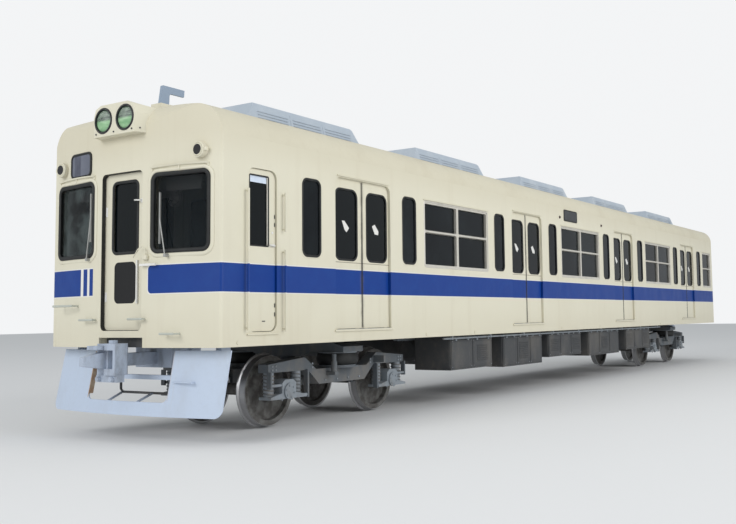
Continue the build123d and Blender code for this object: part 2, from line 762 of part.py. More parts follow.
skirt_step = (717, 1006, side_bottom - 368)
step_radius = 9
skirt_stays = (0.51 * skirt_half, 0.84 * skirt_half)
beam_low = side_bottom - 365
beam_high = side_bottom - 315
beam_depth = 60
with BuildPart() as skirt:
    add(leaning_block(0))
    add(leaning_block(skirt_thickness), mode=Mode.SUBTRACT)
    with BuildSketch(Plane.YZ.offset(cab_split)):
        with Locations((0, (skirt_top + skirt_bottom + skirt_round) / 2)):
            RectangleRounded(2 * skirt_half, skirt_top - skirt_bottom + skirt_round, skirt_round)
        with Locations((0, (skirt_open_low + skirt_top + 300) / 2)):
            RectangleRounded(2 * skirt_open_half, skirt_top + 300 - skirt_open_low, 70, mode=Mode.SUBTRACT)
    extrude(amount=600, mode=Mode.INTERSECT)
    # Folded edges along both sides of the opening
    for side in (1, -1):
        with BuildPart(mode=Mode.PRIVATE) as fold:
            add(leaning_block(skirt_thickness / 2))
            add(leaning_block(60), mode=Mode.SUBTRACT)
            box_between((cab_split, body_front), (side * skirt_open_half, side * (skirt_open_half + 10)),
                        (skirt_open_low + 60, skirt_top), mode=Mode.INTERSECT)
        add(fold.part)
    # Step rail on the face, on two short posts
    lean = (skirt_top - skirt_step[2]) / (skirt_top - skirt_bottom)
    step_setback = skirt_top_setback + lean * (skirt_bottom_setback - skirt_top_setback)
    step_x = front_at(skirt_step[0], step_setback) + 30
    rod((step_x, skirt_step[0], skirt_step[2]), (step_x, skirt_step[1], skirt_step[2]), step_radius)
    for y in (skirt_step[0] + 20, skirt_step[1] - 20):
        rod((front_at(y, step_setback) - skirt_thickness / 2, y, skirt_step[2]),
            (step_x, y, skirt_step[2]), 7)
    # Stays up to the end sill and the beam behind the opening
    beam_x = front_at(skirt_stays[1], skirt_top_setback) - 20
    for side in (1, -1):
        for y in skirt_stays:
            plate_x = front_at(y, skirt_top_setback) - skirt_thickness + 2
            box_between((beam_x - 200, plate_x), (side * (y - 6), side * (y + 6)), (beam_low, skirt_top))
            box_between((beam_x - 200, beam_x - beam_depth), (side * (y - 40), side * (y + 40)),
                        (skirt_top - 12, side_bottom))
    box_between((beam_x - beam_depth, beam_x), (-skirt_stays[1], skirt_stays[1]), (beam_low, beam_high))
save(skirt.part, "skirt")

# Couplers: rigid head with a guide horn beside a pocket, shank and draft gear
head_half = 172
head_low = coupler_height - 160
head_high = coupler_height + 180
head_depth = 240
with BuildPart() as couplers:
    with BuildPart(mode=Mode.PRIVATE) as coupler:
        neck = coupler_face - head_depth
        with BuildSketch(Plane.XY.offset(head_low)):
            with BuildLine():
                Polyline((neck, -95), (neck + 70, -head_half), (coupler_face - 45, -head_half),
                         (coupler_face - 45, 8), (coupler_face - 110, 28), (coupler_face - 110, 130),
                         (coupler_face, 140), (coupler_face, head_half + 8), (neck + 70, head_half),
                         (neck, 95), close=True)
            make_face()
        extrude(amount=head_high - head_low)
        # Frame of the pocket above and below, and the lip over the horn
        for low, high in ((head_low, head_low + 70), (head_high - 70, head_high)):
            box_between((coupler_face - 130, coupler_face), (0, 160), (low, high))
        box_between((coupler_face - 60, coupler_face + 90), (-head_half, -10),
                    (head_high - 62, head_high - 20))
        # Horn tapering to its flat tip
        with BuildSketch(Plane.YZ.offset(coupler_face - 60)):
            with Locations((-92, coupler_height)):
                Rectangle(150, 190)
        with BuildSketch(Plane.YZ.offset(coupler_face + coupler_horn)):
            with Locations((-104, coupler_height - 8)):
                Rectangle(70, 96)
        loft()
        # Air pipe manifold under the head, with two nozzles
        box_between((coupler_face - 120, coupler_face - 20), (-150, 190), (head_low - 75, head_low))
        for y in (-95, 120):
            rod((coupler_face - 20, y, head_low - 40), (coupler_face + 20, y, head_low - 40), 26)
        rod((neck + 120, 0, head_high), (neck + 120, 0, head_high + 36), 48)
        box_between((neck - 440, neck), (-60, 60), (coupler_height - 70, coupler_height + 70))
        box_between((neck - 740, neck - 440), (-300, 300), (coupler_height - 110, side_bottom))
    add(coupler.part)
    add(coupler.part.rotate(Axis.Z, 180))
save(couplers.part, "couplers")

# Roof coolers with sloping ends and sides
cooler_pitch = 3690
cooler_first = 7320
cooler_base = (2400, 1420)
cooler_cap = (1980, 1260)
cooler_top = side_bottom + 2965
cooler_skirt = side_bottom + 2640
cooler_round = 55
with BuildPart() as roof_coolers:
    for number in range(5):
        x = cooler_first - number * cooler_pitch
        with BuildPart(mode=Mode.PRIVATE) as cooler:
            with BuildSketch(Plane.XY.offset(cooler_skirt)):
                with Locations((x, 0)):
                    Rectangle(*cooler_base)
            with BuildSketch(Plane.XY.offset(cooler_top)):
                with Locations((x, 0)):
                    Rectangle(*cooler_cap)
            loft()
            fillet(cooler.faces().sort_by(Axis.Z)[-1].edges(), cooler_round)
            add(body_block(0, side_bottom, x - cooler_base[0], x + cooler_base[0]), mode=Mode.SUBTRACT)
        add(cooler.part)
save(roof_coolers.part, "roof_coolers")

# Aerial on the cab roof: base block, flat post and an arm toward the rear
aerial_front = housing_back - 3
aerial_top = side_bottom + 3078
base_size = (205, 170, 140)
with BuildPart() as antenna:
    with Locations((aerial_front - base_size[0] / 2, 0, roof_crown)):
        Box(*base_size, align=(Align.CENTER, Align.CENTER, Align.MIN))
    with BuildSketch(Plane.XZ.offset(-14)):
        with BuildLine():
            Polyline((aerial_front - 40, roof_crown + base_size[2]), (aerial_front - 76, aerial_top - 8),
                     (aerial_front - 96, aerial_top), (aerial_front - 425, aerial_top),
                     (aerial_front - 418, aerial_top - 84), (aerial_front - 208, aerial_top - 84),
                     (aerial_front - 192, aerial_top - 108), (aerial_front - 186, roof_crown + base_size[2]),
                     close=True)
        make_face()
    extrude(amount=28)
save(antenna.part, "antenna")

# Underfloor equipment: middle x, middle y, length, width, height
equipment_table = [(4100, 960, 1300, 640, 520), (2300, 980, 1500, 600, 560), (500, 960, 1500, 640, 480),
                   (-1500, 960, 1700, 640, 540), (-3600, 980, 1600, 600, 500), (4000, -960, 1500, 640, 500),
                   (1900, -960, 1700, 640, 560), (-400, -980, 1700, 600, 460), (-2500, -960, 1600, 640, 560),
                   (-4400, -960, 1100, 640, 500)]
with BuildPart() as equipment_boxes:
    for x, y, length, width, height in equipment_table:
        with Locations((x, y, side_bottom - height / 2)):
            Box(length, width, height)
save(equipment_boxes.part, "equipment_boxes")

tank_radius = 190
tank_drop = 60
tank_table = [(3250, 1500), (-650, 1600), (-3250, 1500)]
with BuildPart() as air_tanks:
    for x, length in tank_table:
        z = side_bottom - tank_drop - tank_radius
        rod((x - length / 2, 0, z), (x + length / 2, 0, z), tank_radius)
    fillet(air_tanks.edges().filter_by(GeomType.CIRCLE), 60)
    for beam_x in (3900, 2600, 0, -1300, -2600, -3900):
        # Hanger strap from each cross beam down to its tank
        box_between((beam_x - 20, beam_x + 20), (-60, 60), (side_bottom - tank_drop - 10, side_bottom))
save(air_tanks.part, "air_tanks")

# Bench seats along both walls: base, cushion and back
bench_gap = 60
bench_depth = 430
bench_height = 240
cushion_height = 190
back_depth = 70
back_low = floor_top + 470
back_high = side_bottom + 990
bench_edges = [(saloon_front - 30, door_x[0] + door_half + bench_gap)]
bench_edges += [(door_x[i] - door_half - bench_gap, door_x[i + 1] + door_half + bench_gap)
                for i in range(3)]
bench_edges += [(door_x[3] - door_half - bench_gap, frame_rear + 20)]
with BuildPart() as bench_seats:
    for side in (1, -1):
        for front, rear in bench_edges:
            face = side * inner_face
            box_between((rear + 30, front - 30), (face - side * (bench_depth - 90), face),
                        (floor_top, floor_top + bench_height))
            box_between((rear, front), (face - side * bench_depth, face),
                        (floor_top + bench_height, floor_top + bench_height + cushion_height))
            box_between((rear, front), (face - side * back_depth, face), (back_low - 40, back_high))
save(bench_seats.part, "bench_seats")

# Poles at the bench ends and racks over the windows
pole_radius = 16
rack_height = side_bottom + 1975
rack_depth = 330
with BuildPart() as grab_rails:
    for side in (1, -1):
        for front, rear in bench_edges:
            edge = side * (inner_face - rack_depth)
            box_between((rear, front), (edge, side * inner_face), (rack_height, rack_height + 14))
            for near, x in ((rear, rear - pole_radius - 4), (front, front + pole_radius + 4)):
                if frame_rear + 60 < x < saloon_front - 60:
                    rod((x, edge, floor_top), (x, edge, rack_height + 14), pole_radius)
                    box_between((near, x), (edge, edge + side * 20), (rack_height, rack_height + 14))
save(grab_rails.part, "grab_rails")

# Cab: driver's desk with a sloping panel on the left, shelf on the right, and the driver's seat
desk_rear = 9250
desk_face = 9505
desk_top = side_bottom + 1000
desk_outer = inner_face - 40
with BuildPart() as driver_desk:
    for inner, outer, low, high in ((385, desk_outer, floor_top, desk_top),
                                    (-desk_outer, -400, floor_top + 500, desk_top - 120)):
        with BuildSketch(Plane.XZ.offset(-outer)):
            with BuildLine():
                Polyline((desk_rear + 90, low), (desk_face, low), (desk_face, high),
                         (desk_rear + 150, high), (desk_rear, high - 160), (desk_rear, high - 230),
                         (desk_rear + 90, high - 260), close=True)
            make_face()
        extrude(amount=outer - inner)
    box_between((desk_rear + 90, desk_face), (-1200, -450), (floor_top, floor_top + 500))
save(driver_desk.part, "driver_desk")

seat_x = 9010
seat_y = 640
with BuildPart() as driver_seat:
    box_between((seat_x - 150, seat_x + 150), (seat_y - 150, seat_y + 150), (floor_top, floor_top + 20))
    rod((seat_x, seat_y, floor_top + 20), (seat_x, seat_y, floor_top + 380), 45)
    box_between((seat_x - 190, seat_x + 190), (seat_y - 190, seat_y + 190),
                (floor_top + 380, floor_top + 470))
    box_between((seat_x - 260, seat_x - 190), (seat_y - 190, seat_y + 190),
                (floor_top + 400, floor_top + 950))
save(driver_seat.part, "driver_seat")

# Gangway bellows round the rear doorway
gangway_half = rear_door_half + 30
gangway_high = rear_door_high + 30
with BuildPart() as rear_gangway:
    folds = int(gangway_reach / bellows_pitch)
    for number in range(folds):
        swell = gangway_width if number % 2 == 0 else gangway_width - 30
        with BuildSketch(Plane.YZ.offset(body_rear - number * bellows_pitch)):
            with Locations((0, (floor_top - gangway_foot + gangway_high + swell) / 2)):
                RectangleRounded(2 * (gangway_half + swell), gangway_high + swell - floor_top + gangway_foot,
                                 gangway_foot)
            with Locations((0, (floor_top + gangway_high) / 2)):
                RectangleRounded(2 * gangway_half, gangway_high - floor_top, 60, mode=Mode.SUBTRACT)
        extrude(amount=-bellows_pitch)
save(rear_gangway.part, "rear_gangway")


# Bogies. Each frame is a pair of dropped side frames joined by two transoms
def bogie_frame(x):
    with BuildPart() as frame:
        for side in (1, -1):
            with BuildSketch(Plane.XZ.offset(-side * (side_frame_inner + side_frame_outer) / 2
                                             - (side_frame_outer - side_frame_inner) / 2)):
                with BuildLine():
                    Polyline((x - 1430, 690), (x - 700, 690), (x - 480, 500), (x + 480, 500), (x + 700, 690),
                             (x + 1430, 690), (x + 1430, 790), (x + 760, 850), (x + 540, 690),
                             (x - 540, 690), (x - 760, 850), (x - 1430, 790), close=True)
                make_face()
            extrude(amount=side_frame_outer - side_frame_inner)
            # Spring seat under the air spring
            with Locations((x, side * air_spring_y, spring_seat - 10)):
                Cylinder(air_spring_radius + 15, 20)
            # Link brackets beside each axle box
            for end in (1, -1):
                box_between((x + end * 1405, x + end * 1430), (side * 875, side * 940), (500, 700))
                box_between((x + end * 725, x + end * 755), (side * 875, side * 940), (360, 700))
            # Brackets for the bolster anchor and for the foot of the damper
            box_between((x - anchor_reach - 40, x - anchor_reach), (side * (side_frame_outer - 10),
                        side * (anchor_y + 30)), (anchor_z - 45, anchor_z + 45))
            box_between((x + damper_x - 40, x + damper_x + 40), (side * (side_frame_outer - 10),
                        side * (damper_y + 42)), (damper_foot - 40, damper_foot))
        for end in (1, -1):
            box_between((x + end * 200, x + end * 360), (-side_frame_inner - 5, side_frame_inner + 5),
                        (515, 675))
    return frame.part


def bogie_bolster(x):
    """Bolster beam on two air springs."""
    with BuildPart() as bolster:
        under = bolster_top - bolster_depth
        with BuildSketch(Plane.YZ.offset(x - bolster_half_width)):
            with BuildLine():
                Polyline((-1080, under), (-520, under), (-380, under - 60), (380, under - 60), (520, under),
                         (1080, under), (1080, under + 70), (900, bolster_top), (-900, bolster_top),
                         (-1080, under + 70), close=True)
            make_face()
        extrude(amount=2 * bolster_half_width)
        for side in (1, -1):
            with BuildSketch(Plane(origin=(x, side * air_spring_y, 0), x_dir=(1, 0, 0), z_dir=(0, -1, 0))):
                with BuildLine():
                    Polyline((air_spring_radius - 40, spring_seat), (0, spring_seat), (0, under),
                             (air_spring_radius - 20, under))
                    ThreePointArc((air_spring_radius - 20, under),
                                  (air_spring_radius + 15, (under + spring_seat) / 2),
                                  (air_spring_radius - 40, spring_seat))
                make_face()
            revolve(axis=Axis((x, side * air_spring_y, 0), (0, 0, 1)))
            # Anchor rod back to the frame, and the damper beside the air spring
            box_between((x - 45, x + 45), (side * (anchor_y - 35), side * (anchor_y + 30)),
                        (anchor_z - 45, under + 20))
            rod((x - 40, side * anchor_y, anchor_z),
                (x - anchor_reach + seat_gap, side * anchor_y, anchor_z), anchor_radius)
            box_between((x + bolster_half_width - 60, x + damper_x + 40),
                        (side * (damper_y - 40), side * (damper_y + 40)), (under - 28, under + 20))
            rod((x + damper_x, side * damper_y, damper_foot + seat_gap),
                (x + damper_x, side * damper_y, damper_foot + 130), damper_radius)
            rod((x + damper_x, side * damper_y, damper_foot + 120),
                (x + damper_x, side * damper_y, under - 20), damper_radius - 10)
    return bolster.part


def axle_boxes(x):
    """Four axle boxes with wing springs and the links that guide them."""
    with BuildPart() as boxes:
        for end in (1, -1):
            axle_x = x + end * wheel_base / 2
            for side in (1, -1):
                inner = side * (side_frame_inner + 10)
                outer = side * (journal_reach + 35)
                with BuildPart(mode=Mode.PRIVATE) as box:
                    with BuildSketch(Plane.XZ.offset(-max(inner, outer))):
                        with BuildLine():
                            Polyline((axle_x - 330, 370), (axle_x + 330, 370), (axle_x + 330, 400),
                                     (axle_x + 125, 440), (axle_x + 125, 560), (axle_x + 70, 600),
                                     (axle_x - 70, 600), (axle_x - 125, 560), (axle_x - 125, 440),
                                     (axle_x - 330, 400), close=True)
                        make_face()
                    extrude(amount=abs(outer - inner))
                    with Locations(Location((axle_x, (inner + side * journal_reach) / 2, axle_height),
                                            (90, 0, 0))):
                        Cylinder(journal_radius + 0.5, journal_reach + 8 - abs(inner), mode=Mode.SUBTRACT)
                    rod((axle_x, outer - side * 5, axle_height),
                        (axle_x, outer + side * box_cap, axle_height), box_cap_radius)
                    for shift in (1, -1):
                        with Locations((axle_x + shift * coil_offset, side * coil_y, (390 + 690) / 2)):
                            Cylinder(coil_radius, 690 - 390)
                    # Outward link high, inward link low
                    rod((axle_x + end * 110, side * link_y, 535), (x + end * 1405, side * link_y, 535),
                        link_radius)
                    rod((axle_x - end * 200, side * link_y, 395), (x + end * 755, side * link_y, 395),
                        link_radius)
                add(box.part)
    return boxes.part


def brake_units(x):
    """Tread brake units on the transoms: a cylinder body and a shoe at each wheel."""
    with BuildPart() as units:
        for end in (1, -1):
            axle_x = x + end * wheel_base / 2
            for side in (1, -1):
                middle = side * (wheel_back + wheel_width / 2)
                with BuildPart(mode=Mode.PRIVATE) as unit:
                    box_between((x + end * 360, x + end * 600), (middle - 70, middle + 70), (480, 660))
                    box_between((x + end * 600, x + end * 690), (middle - 30, middle + 30), (440, 560))
                    with Locations(Location((axle_x, middle, axle_height), (90, 0, 0))):
                        Cylinder(wheel_radius + flange_depth + 8, 400, mode=Mode.SUBTRACT)
                add(unit.part)
    return units.part


def wheelset(axle_x):
    """Axle with two flanged wheels and its journals."""
    with BuildPart() as pair:
        with BuildSketch(Plane.YZ.offset(axle_x)):
            with BuildLine():
                z = axle_height
                Polyline((-journal_reach, z), (-journal_reach, z + journal_radius),
                         (-wheel_back - wheel_width - 60, z + journal_radius),
                         (-wheel_back - wheel_width - 60, z + axle_radius),
                         (wheel_back + wheel_width + 60, z + axle_radius),
                         (wheel_back + wheel_width + 60, z + journal_radius),
                         (journal_reach, z + journal_radius), (journal_reach, z), close=True)
            make_face()
        revolve(axis=Axis((axle_x, 0, axle_height), (0, 1, 0)))
        for side in (1, -1):
            with BuildSketch(Plane.YZ.offset(axle_x)):
                with BuildLine():
                    back = side * wheel_back
                    face = side * (wheel_back + wheel_width)
                    flange = side * (wheel_back + 30)
                    web_in = side * (wheel_back + 60)
                    web_out = side * (wheel_back + 85)
                    tread = z + wheel_radius
                    Polyline((back, z + 70), (back, z + 120), (web_in, z + 150),
                             (web_in - side * 20, z + 350),
                             (back, z + 360), (back, tread + flange_depth - 8),
                             (side * (wheel_back + 10), tread + flange_depth),
                             (side * (wheel_back + 22), tread + flange_depth - 4), (flange, tread + 3),
                             (face, tread - 5), (face, z + 362), (web_out - side * 18, z + 350),
                             (web_out, z + 150), (face + side * 10, z + 120), (face + side * 10, z + 70),
                             close=True)
                make_face()
            revolve(axis=Axis((axle_x, 0, axle_height), (0, 1, 0)))
    return pair.part


for name, x in zip(("front", "rear"), bogie_x):
    save(bogie_frame(x), f"{name}_bogie_frame")
    save(bogie_bolster(x), f"{name}_bogie_bolster")
    save(axle_boxes(x), f"{name}_axle_boxes")
    save(brake_units(x), f"{name}_brake_units")
    save(wheelset(x + wheel_base / 2), f"{name}_bogie_wheelset_fore")
    save(wheelset(x - wheel_base / 2), f"{name}_bogie_wheelset_aft")
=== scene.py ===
# %% [markdown]
# # Commuter rail car: looks over a fixed frame
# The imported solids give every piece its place, so nothing here is measured by eye. They load first.
# Work that follows adds finishes, gaskets, cushions, grilles and pipes round them.

import math

import bmesh
import bpy
from mathutils import Matrix, Vector


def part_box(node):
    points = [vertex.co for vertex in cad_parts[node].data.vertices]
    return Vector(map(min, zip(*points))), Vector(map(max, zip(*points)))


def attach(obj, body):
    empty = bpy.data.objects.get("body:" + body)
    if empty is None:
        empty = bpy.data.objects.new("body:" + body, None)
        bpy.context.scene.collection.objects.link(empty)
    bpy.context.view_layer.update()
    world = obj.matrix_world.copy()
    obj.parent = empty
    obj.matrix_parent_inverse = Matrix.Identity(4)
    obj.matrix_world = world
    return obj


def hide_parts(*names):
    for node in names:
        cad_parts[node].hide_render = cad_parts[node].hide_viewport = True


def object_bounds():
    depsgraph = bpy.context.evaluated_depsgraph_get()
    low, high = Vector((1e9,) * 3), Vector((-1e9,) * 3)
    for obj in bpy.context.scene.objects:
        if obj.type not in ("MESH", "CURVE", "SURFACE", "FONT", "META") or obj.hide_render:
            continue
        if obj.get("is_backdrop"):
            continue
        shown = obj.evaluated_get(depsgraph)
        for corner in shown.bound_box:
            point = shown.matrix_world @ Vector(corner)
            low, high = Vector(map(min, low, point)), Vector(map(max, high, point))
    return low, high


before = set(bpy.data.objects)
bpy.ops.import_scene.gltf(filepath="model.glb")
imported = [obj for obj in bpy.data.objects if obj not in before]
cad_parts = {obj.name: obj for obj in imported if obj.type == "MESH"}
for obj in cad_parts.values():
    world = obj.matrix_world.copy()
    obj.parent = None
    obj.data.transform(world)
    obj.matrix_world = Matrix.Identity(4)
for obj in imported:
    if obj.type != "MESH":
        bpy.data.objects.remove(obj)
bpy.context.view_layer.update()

# %% [markdown]
# ## Camera
# The picture was taken low down beside the cab, with a normal lens. A camera matrix is easiest to set
# from its three directions: right, up and backward are its columns. Turning it by Euler angles would
# work too, but the small roll is clearer this way.

# %% Camera
PICTURE = (736, 524)
FOCAL_PIXELS = 900.51
PICTURE_CENTRE = (434.71, 242.36)
SENSOR = 36.0
yaw, pitch, roll = (math.radians(v) for v in (211.78, 4.70, -0.86))
forward = Vector((math.cos(yaw) * math.cos(pitch), math.sin(yaw) * math.cos(pitch), math.sin(pitch)))
level = Vector((math.sin(yaw), -math.cos(yaw), 0.0))
raised = level.cross(forward)
right = level * math.cos(roll) + raised * math.sin(roll)
up = raised * math.cos(roll) - level * math.sin(roll)
turn = Matrix((right, up, -forward)).transposed().to_4x4()
camera_data = bpy.data.cameras.new("camera")
camera_data.sensor_width = SENSOR
camera_data.lens = FOCAL_PIXELS / PICTURE[0] * SENSOR
camera_data.shift_x = (PICTURE[0] / 2 - PICTURE_CENTRE[0]) / PICTURE[0]
camera_data.shift_y = (PICTURE_CENTRE[1] - PICTURE[1] / 2) / PICTURE[0]
camera_data.clip_start = 0.1
camera_data.clip_end = 400.0


def place_object(name, data, matrix=None):
    """Puts data into the scene as an object."""
    thing = bpy.data.objects.new(name, data)
    bpy.context.scene.collection.objects.link(thing)
    if matrix is not None:
        thing.matrix_world = matrix
    return thing


bpy.context.scene.camera = place_object("camera", camera_data, Matrix.Translation((16.424, 8.262, 1.333)) @ turn)
print("camera lens", round(camera_data.lens, 2), "shift", round(camera_data.shift_x, 3))

# %% [markdown]
# ## Floor, sky and lamps
# Out of doors under a bright overcast sky, light comes from everywhere, a little more from the open side.
# A white world with one large soft lamp gives that. The world's colour for the camera is a second
# background, so the paper-white backdrop adds no light to the object.

# %% Floor, sky and lamps
floor_mesh = bpy.data.meshes.new("floor")
floor_mesh.from_pydata([(-90, -90, 0), (90, -90, 0), (90, 90, 0), (-90, 90, 0)], [], [(0, 1, 2, 3)])
floor = place_object("floor", floor_mesh)
floor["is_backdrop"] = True

world = bpy.data.worlds.new("sky")
world.use_nodes = True
bpy.context.scene.world = world
sky = world.node_tree
sky.nodes.clear()
ray = sky.nodes.new("ShaderNodeLightPath")
choose = sky.nodes.new("ShaderNodeMixShader")
out = sky.nodes.new("ShaderNodeOutputWorld")
sky.links.new(ray.outputs["Is Camera Ray"], choose.inputs["Fac"])
for socket, colour, strength in ((1, (0.93, 0.97, 1.0, 1), 0.60), (2, (0.90, 0.91, 0.92, 1), 1.0)):
    background = sky.nodes.new("ShaderNodeBackground")
    background.inputs["Color"].default_value = colour
    background.inputs["Strength"].default_value = strength
    sky.links.new(background.outputs[0], choose.inputs[socket])
sky.links.new(choose.outputs[0], out.inputs["Surface"])

for name, place, aim, size, power in (("side_light", (4, 26, 12), (0, 0, 2), 20, 3600),
                                      ("front_light", (38, -4, 16), (9, 0, 2), 16, 4300)):
    data = bpy.data.lights.new(name, "AREA")
    data.size = size
    data.energy = power
    back = (Vector(place) - Vector(aim)).normalized()
    place_object(name, data, Matrix.Translation(place) @ back.to_track_quat("Z", "Y").to_matrix().to_4x4())
bpy.context.scene.view_settings.view_transform = "Standard"

# %% [markdown]
# ## Shader maths as Python
# A paint scheme is a sum of masks: a band between two heights, a bar between two widths, dirt that fades
# upward. Wiring each by hand hides the idea, so a small class wraps a socket and lets + - * / add Math nodes.

# %% Shader maths
FINISH = {}


class Value:
    """A socket of a shader tree that takes part in Python sums."""

    def __init__(self, shade, socket):
        self.shade = shade
        self.socket = socket

    def maths(self, operation, *others):
        node = self.shade.node("ShaderNodeMath", dict(enumerate((self, *others))), operation=operation)
        return Value(self.shade, node.outputs[0])

    __add__ = __radd__ = lambda self, other: self.maths("ADD", other)
    __mul__ = __rmul__ = lambda self, other: self.maths("MULTIPLY", other)
    __sub__ = lambda self, other: self.maths("SUBTRACT", other)
    __rsub__ = lambda self, other: self.maths("MULTIPLY_ADD", -1.0, other)
    __truediv__ = lambda self, other: self.maths("DIVIDE", other)
    __pow__ = lambda self, other: self.maths("POWER", other)
    __abs__ = lambda self: self.maths("ABSOLUTE")

    def rise(self, low, high):
        """0 below low, 1 above high, a smooth step between."""
        node = self.shade.node("ShaderNodeMapRange", {"Value": self, "From Min": low, "From Max": high},
                               interpolation_type="SMOOTHSTEP")
        return Value(self.shade, node.outputs[0])

    def fall(self, low, high):
        return 1 - self.rise(low, high)

    def within(self, low, high, soft=0.002):
        """1 between low and high, with a soft edge."""
        return self.rise(low - soft, low + soft) * self.fall(high - soft, high + soft)

    def away(self, other, centre=0.0, other_centre=0.0):
        """Distance from an axis, given its place in two coordinates."""
        one = self - centre if centre else self
        two = other - other_centre if other_centre else other
        return (one ** 2.0 + two ** 2.0) ** 0.5


class Shade:
    """A material with its Principled shader, object coordinates and helpers."""

    def __init__(self, name, roughness=0.5, metallic=0.0, specular=0.5):
        self.material = FINISH[name] = bpy.data.materials.new(name)
        self.material.use_nodes = True
        self.tree = self.material.node_tree
        self.shader = self.tree.nodes["Principled BSDF"]
        self.shader.inputs["Specular IOR Level"].default_value = specular
        self.set(roughness=roughness, metallic=metallic)
        self.place = Value(self, self.node("ShaderNodeTexCoord").outputs["Object"])
        parts = self.node("ShaderNodeSeparateXYZ", {0: self.place})
        self.x, self.y, self.z = (Value(self, socket) for socket in parts.outputs)

    def plug(self, socket, item):
        if isinstance(item, Value):
            self.tree.links.new(item.socket, socket)
        elif isinstance(item, tuple) and len(item) == 3 and len(socket.default_value) == 4:
            socket.default_value = (*item, 1.0)
        else:
            socket.default_value = item

    def node(self, kind, inputs=None, **settings):
        made = self.tree.nodes.new(kind)
        for key, setting in settings.items():
            setattr(made, key, setting)
        for key, item in (inputs or {}).items():
            self.plug(made.inputs[key], item)
        return made

    def noise(self, scale, stretch=(1, 1, 1), detail=3.0):
        """Cloudy noise, stretched along an axis by a scale below 1."""
        moved = self.node("ShaderNodeMapping", {"Vector": self.place, "Scale": stretch})
        cloud = self.node("ShaderNodeTexNoise", {"Vector": Value(self, moved.outputs[0]), "Scale": scale,
                                                 "Detail": detail, "Roughness": 0.55})
        return Value(self, cloud.outputs["Fac"])

    def mix(self, mask, below, above):
        """Colour below where the mask is 0, above where it is 1."""
        made = self.node("ShaderNodeMix", {"Factor": mask, 6: below, 7: above}, data_type="RGBA")
        return Value(self, made.outputs[2])

    def bump(self, height, depth, strength):
        made = self.node("ShaderNodeBump", {"Height": height, "Distance": depth, "Strength": strength})
        self.tree.links.new(made.outputs[0], self.shader.inputs["Normal"])

    def set(self, **links):
        """Feeds the shader's sockets, such as base_color or roughness."""
        for key, item in links.items():
            self.plug(self.shader.inputs[key.replace("_", " ").title()], item)


def dress(finish, *nodes):
    """Gives CAD nodes a finish."""
    for name in nodes:
        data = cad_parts[name].data
        data.materials.clear()
        data.materials.append(FINISH[finish])


print("shader helpers ready")

# %% [markdown]
# ## Livery paint
# The body is cream with one blue band under the windows. The band is paint, not a plate, so it is a mask on
# height: it wraps from the sides onto the front, stops at one side of the centre door, and breaks into bars on
# the other. Years out of doors leave pale chalking, rain streaks, rust runs and dust low down. A door that
# carries its own pane gets it from a second mask, a rounded rectangle as a distance, so one solid needs one
# material.

# %% Livery paint
B = 1.040
BAND = (B + 0.586, B + 0.894)
FRONT_X = 9.75
FRONT_RADIUS = 6.484
INNER_FACE = (1.291, 1.292)
CREAM = (0.715, 0.680, 0.545)
CREAM_DIRTY = (0.50, 0.43, 0.30)
BLUE = (0.0008, 0.038, 0.240)
WHITE = (0.80, 0.79, 0.76)
INNER = (0.50, 0.52, 0.46)
INNER_DIRTY = (0.38, 0.38, 0.32)
PANE_DARK = (0.003, 0.005, 0.006)
DOOR_PITCH = 4.791
DOOR_FIRST = 2.281
LEAF_WINDOW = (0.3275, B + 1.464, 0.2225, 0.443, 0.095)
CREW_WINDOW = (9.0, B + 1.494, 0.150, 0.390, 0.012)


def weather(shade, colour, dirt, amount=0.35):
    """Chalky patches, rain streaks, rust specks and dust over a paint."""
    streak = shade.noise(2.2, (3.0, 3.0, 0.14), 4.0).rise(0.52, 0.80)
    patch = shade.noise(0.9).rise(0.45, 0.75)
    low = shade.z.fall(B - 0.02, B + 0.50)
    dusty = shade.mix((streak * 0.5 + patch * 0.3 + low * 0.42) * amount, colour, dirt)
    speck = shade.noise(7.0, (1.6, 1.6, 0.5), 5.0).rise(0.70, 0.80) * shade.noise(0.6).rise(0.45, 0.6)
    return shade.mix(speck * 0.35, dusty, (0.34, 0.19, 0.08))


def box_distance(a, b, half_a, half_b, corner):
    """Distance outside a rounded rectangle, for centred coordinates a and b."""
    qa = abs(a) - (half_a - corner)
    qb = abs(b) - (half_b - corner)
    outside = qa.maths("MAXIMUM", 0.0).away(qb.maths("MAXIMUM", 0.0))
    return outside + qa.maths("MAXIMUM", qb).maths("MINIMUM", 0.0) - corner


def pane_of(a, b, half_a, half_b, corner, through, low, high):
    """1 on the pane that fills a window: inside its outline and between two depths."""
    return box_distance(a, b, half_a, half_b, corner).fall(-0.0009, -0.0004) * through.within(low, high, 0.0003)


def outside_shoulder(shade):
    """1 on the outer side of the rounded edge between wall and roof."""
    cove = abs(shade.y).away(shade.z, 1.07, 3.330)
    return cove.rise(0.28, 0.30) * abs(shade.y).rise(1.02, 1.04)


def sealed(shade, colour, rough, pane, grain):
    """Ends a paint: a pane that the solid carries is dark and glossy, and the sheet is a little uneven."""
    if pane:
        mask = pane(shade)
        colour = shade.mix(mask, colour, PANE_DARK)
        rough = rough * (1 - mask) + 0.05 * mask
        shade.set(alpha=1 - mask * 0.10)
    shade.set(base_color=colour, roughness=rough)
    shade.bump(grain + shade.noise(55.0) * 0.02, 0.012, 0.14)


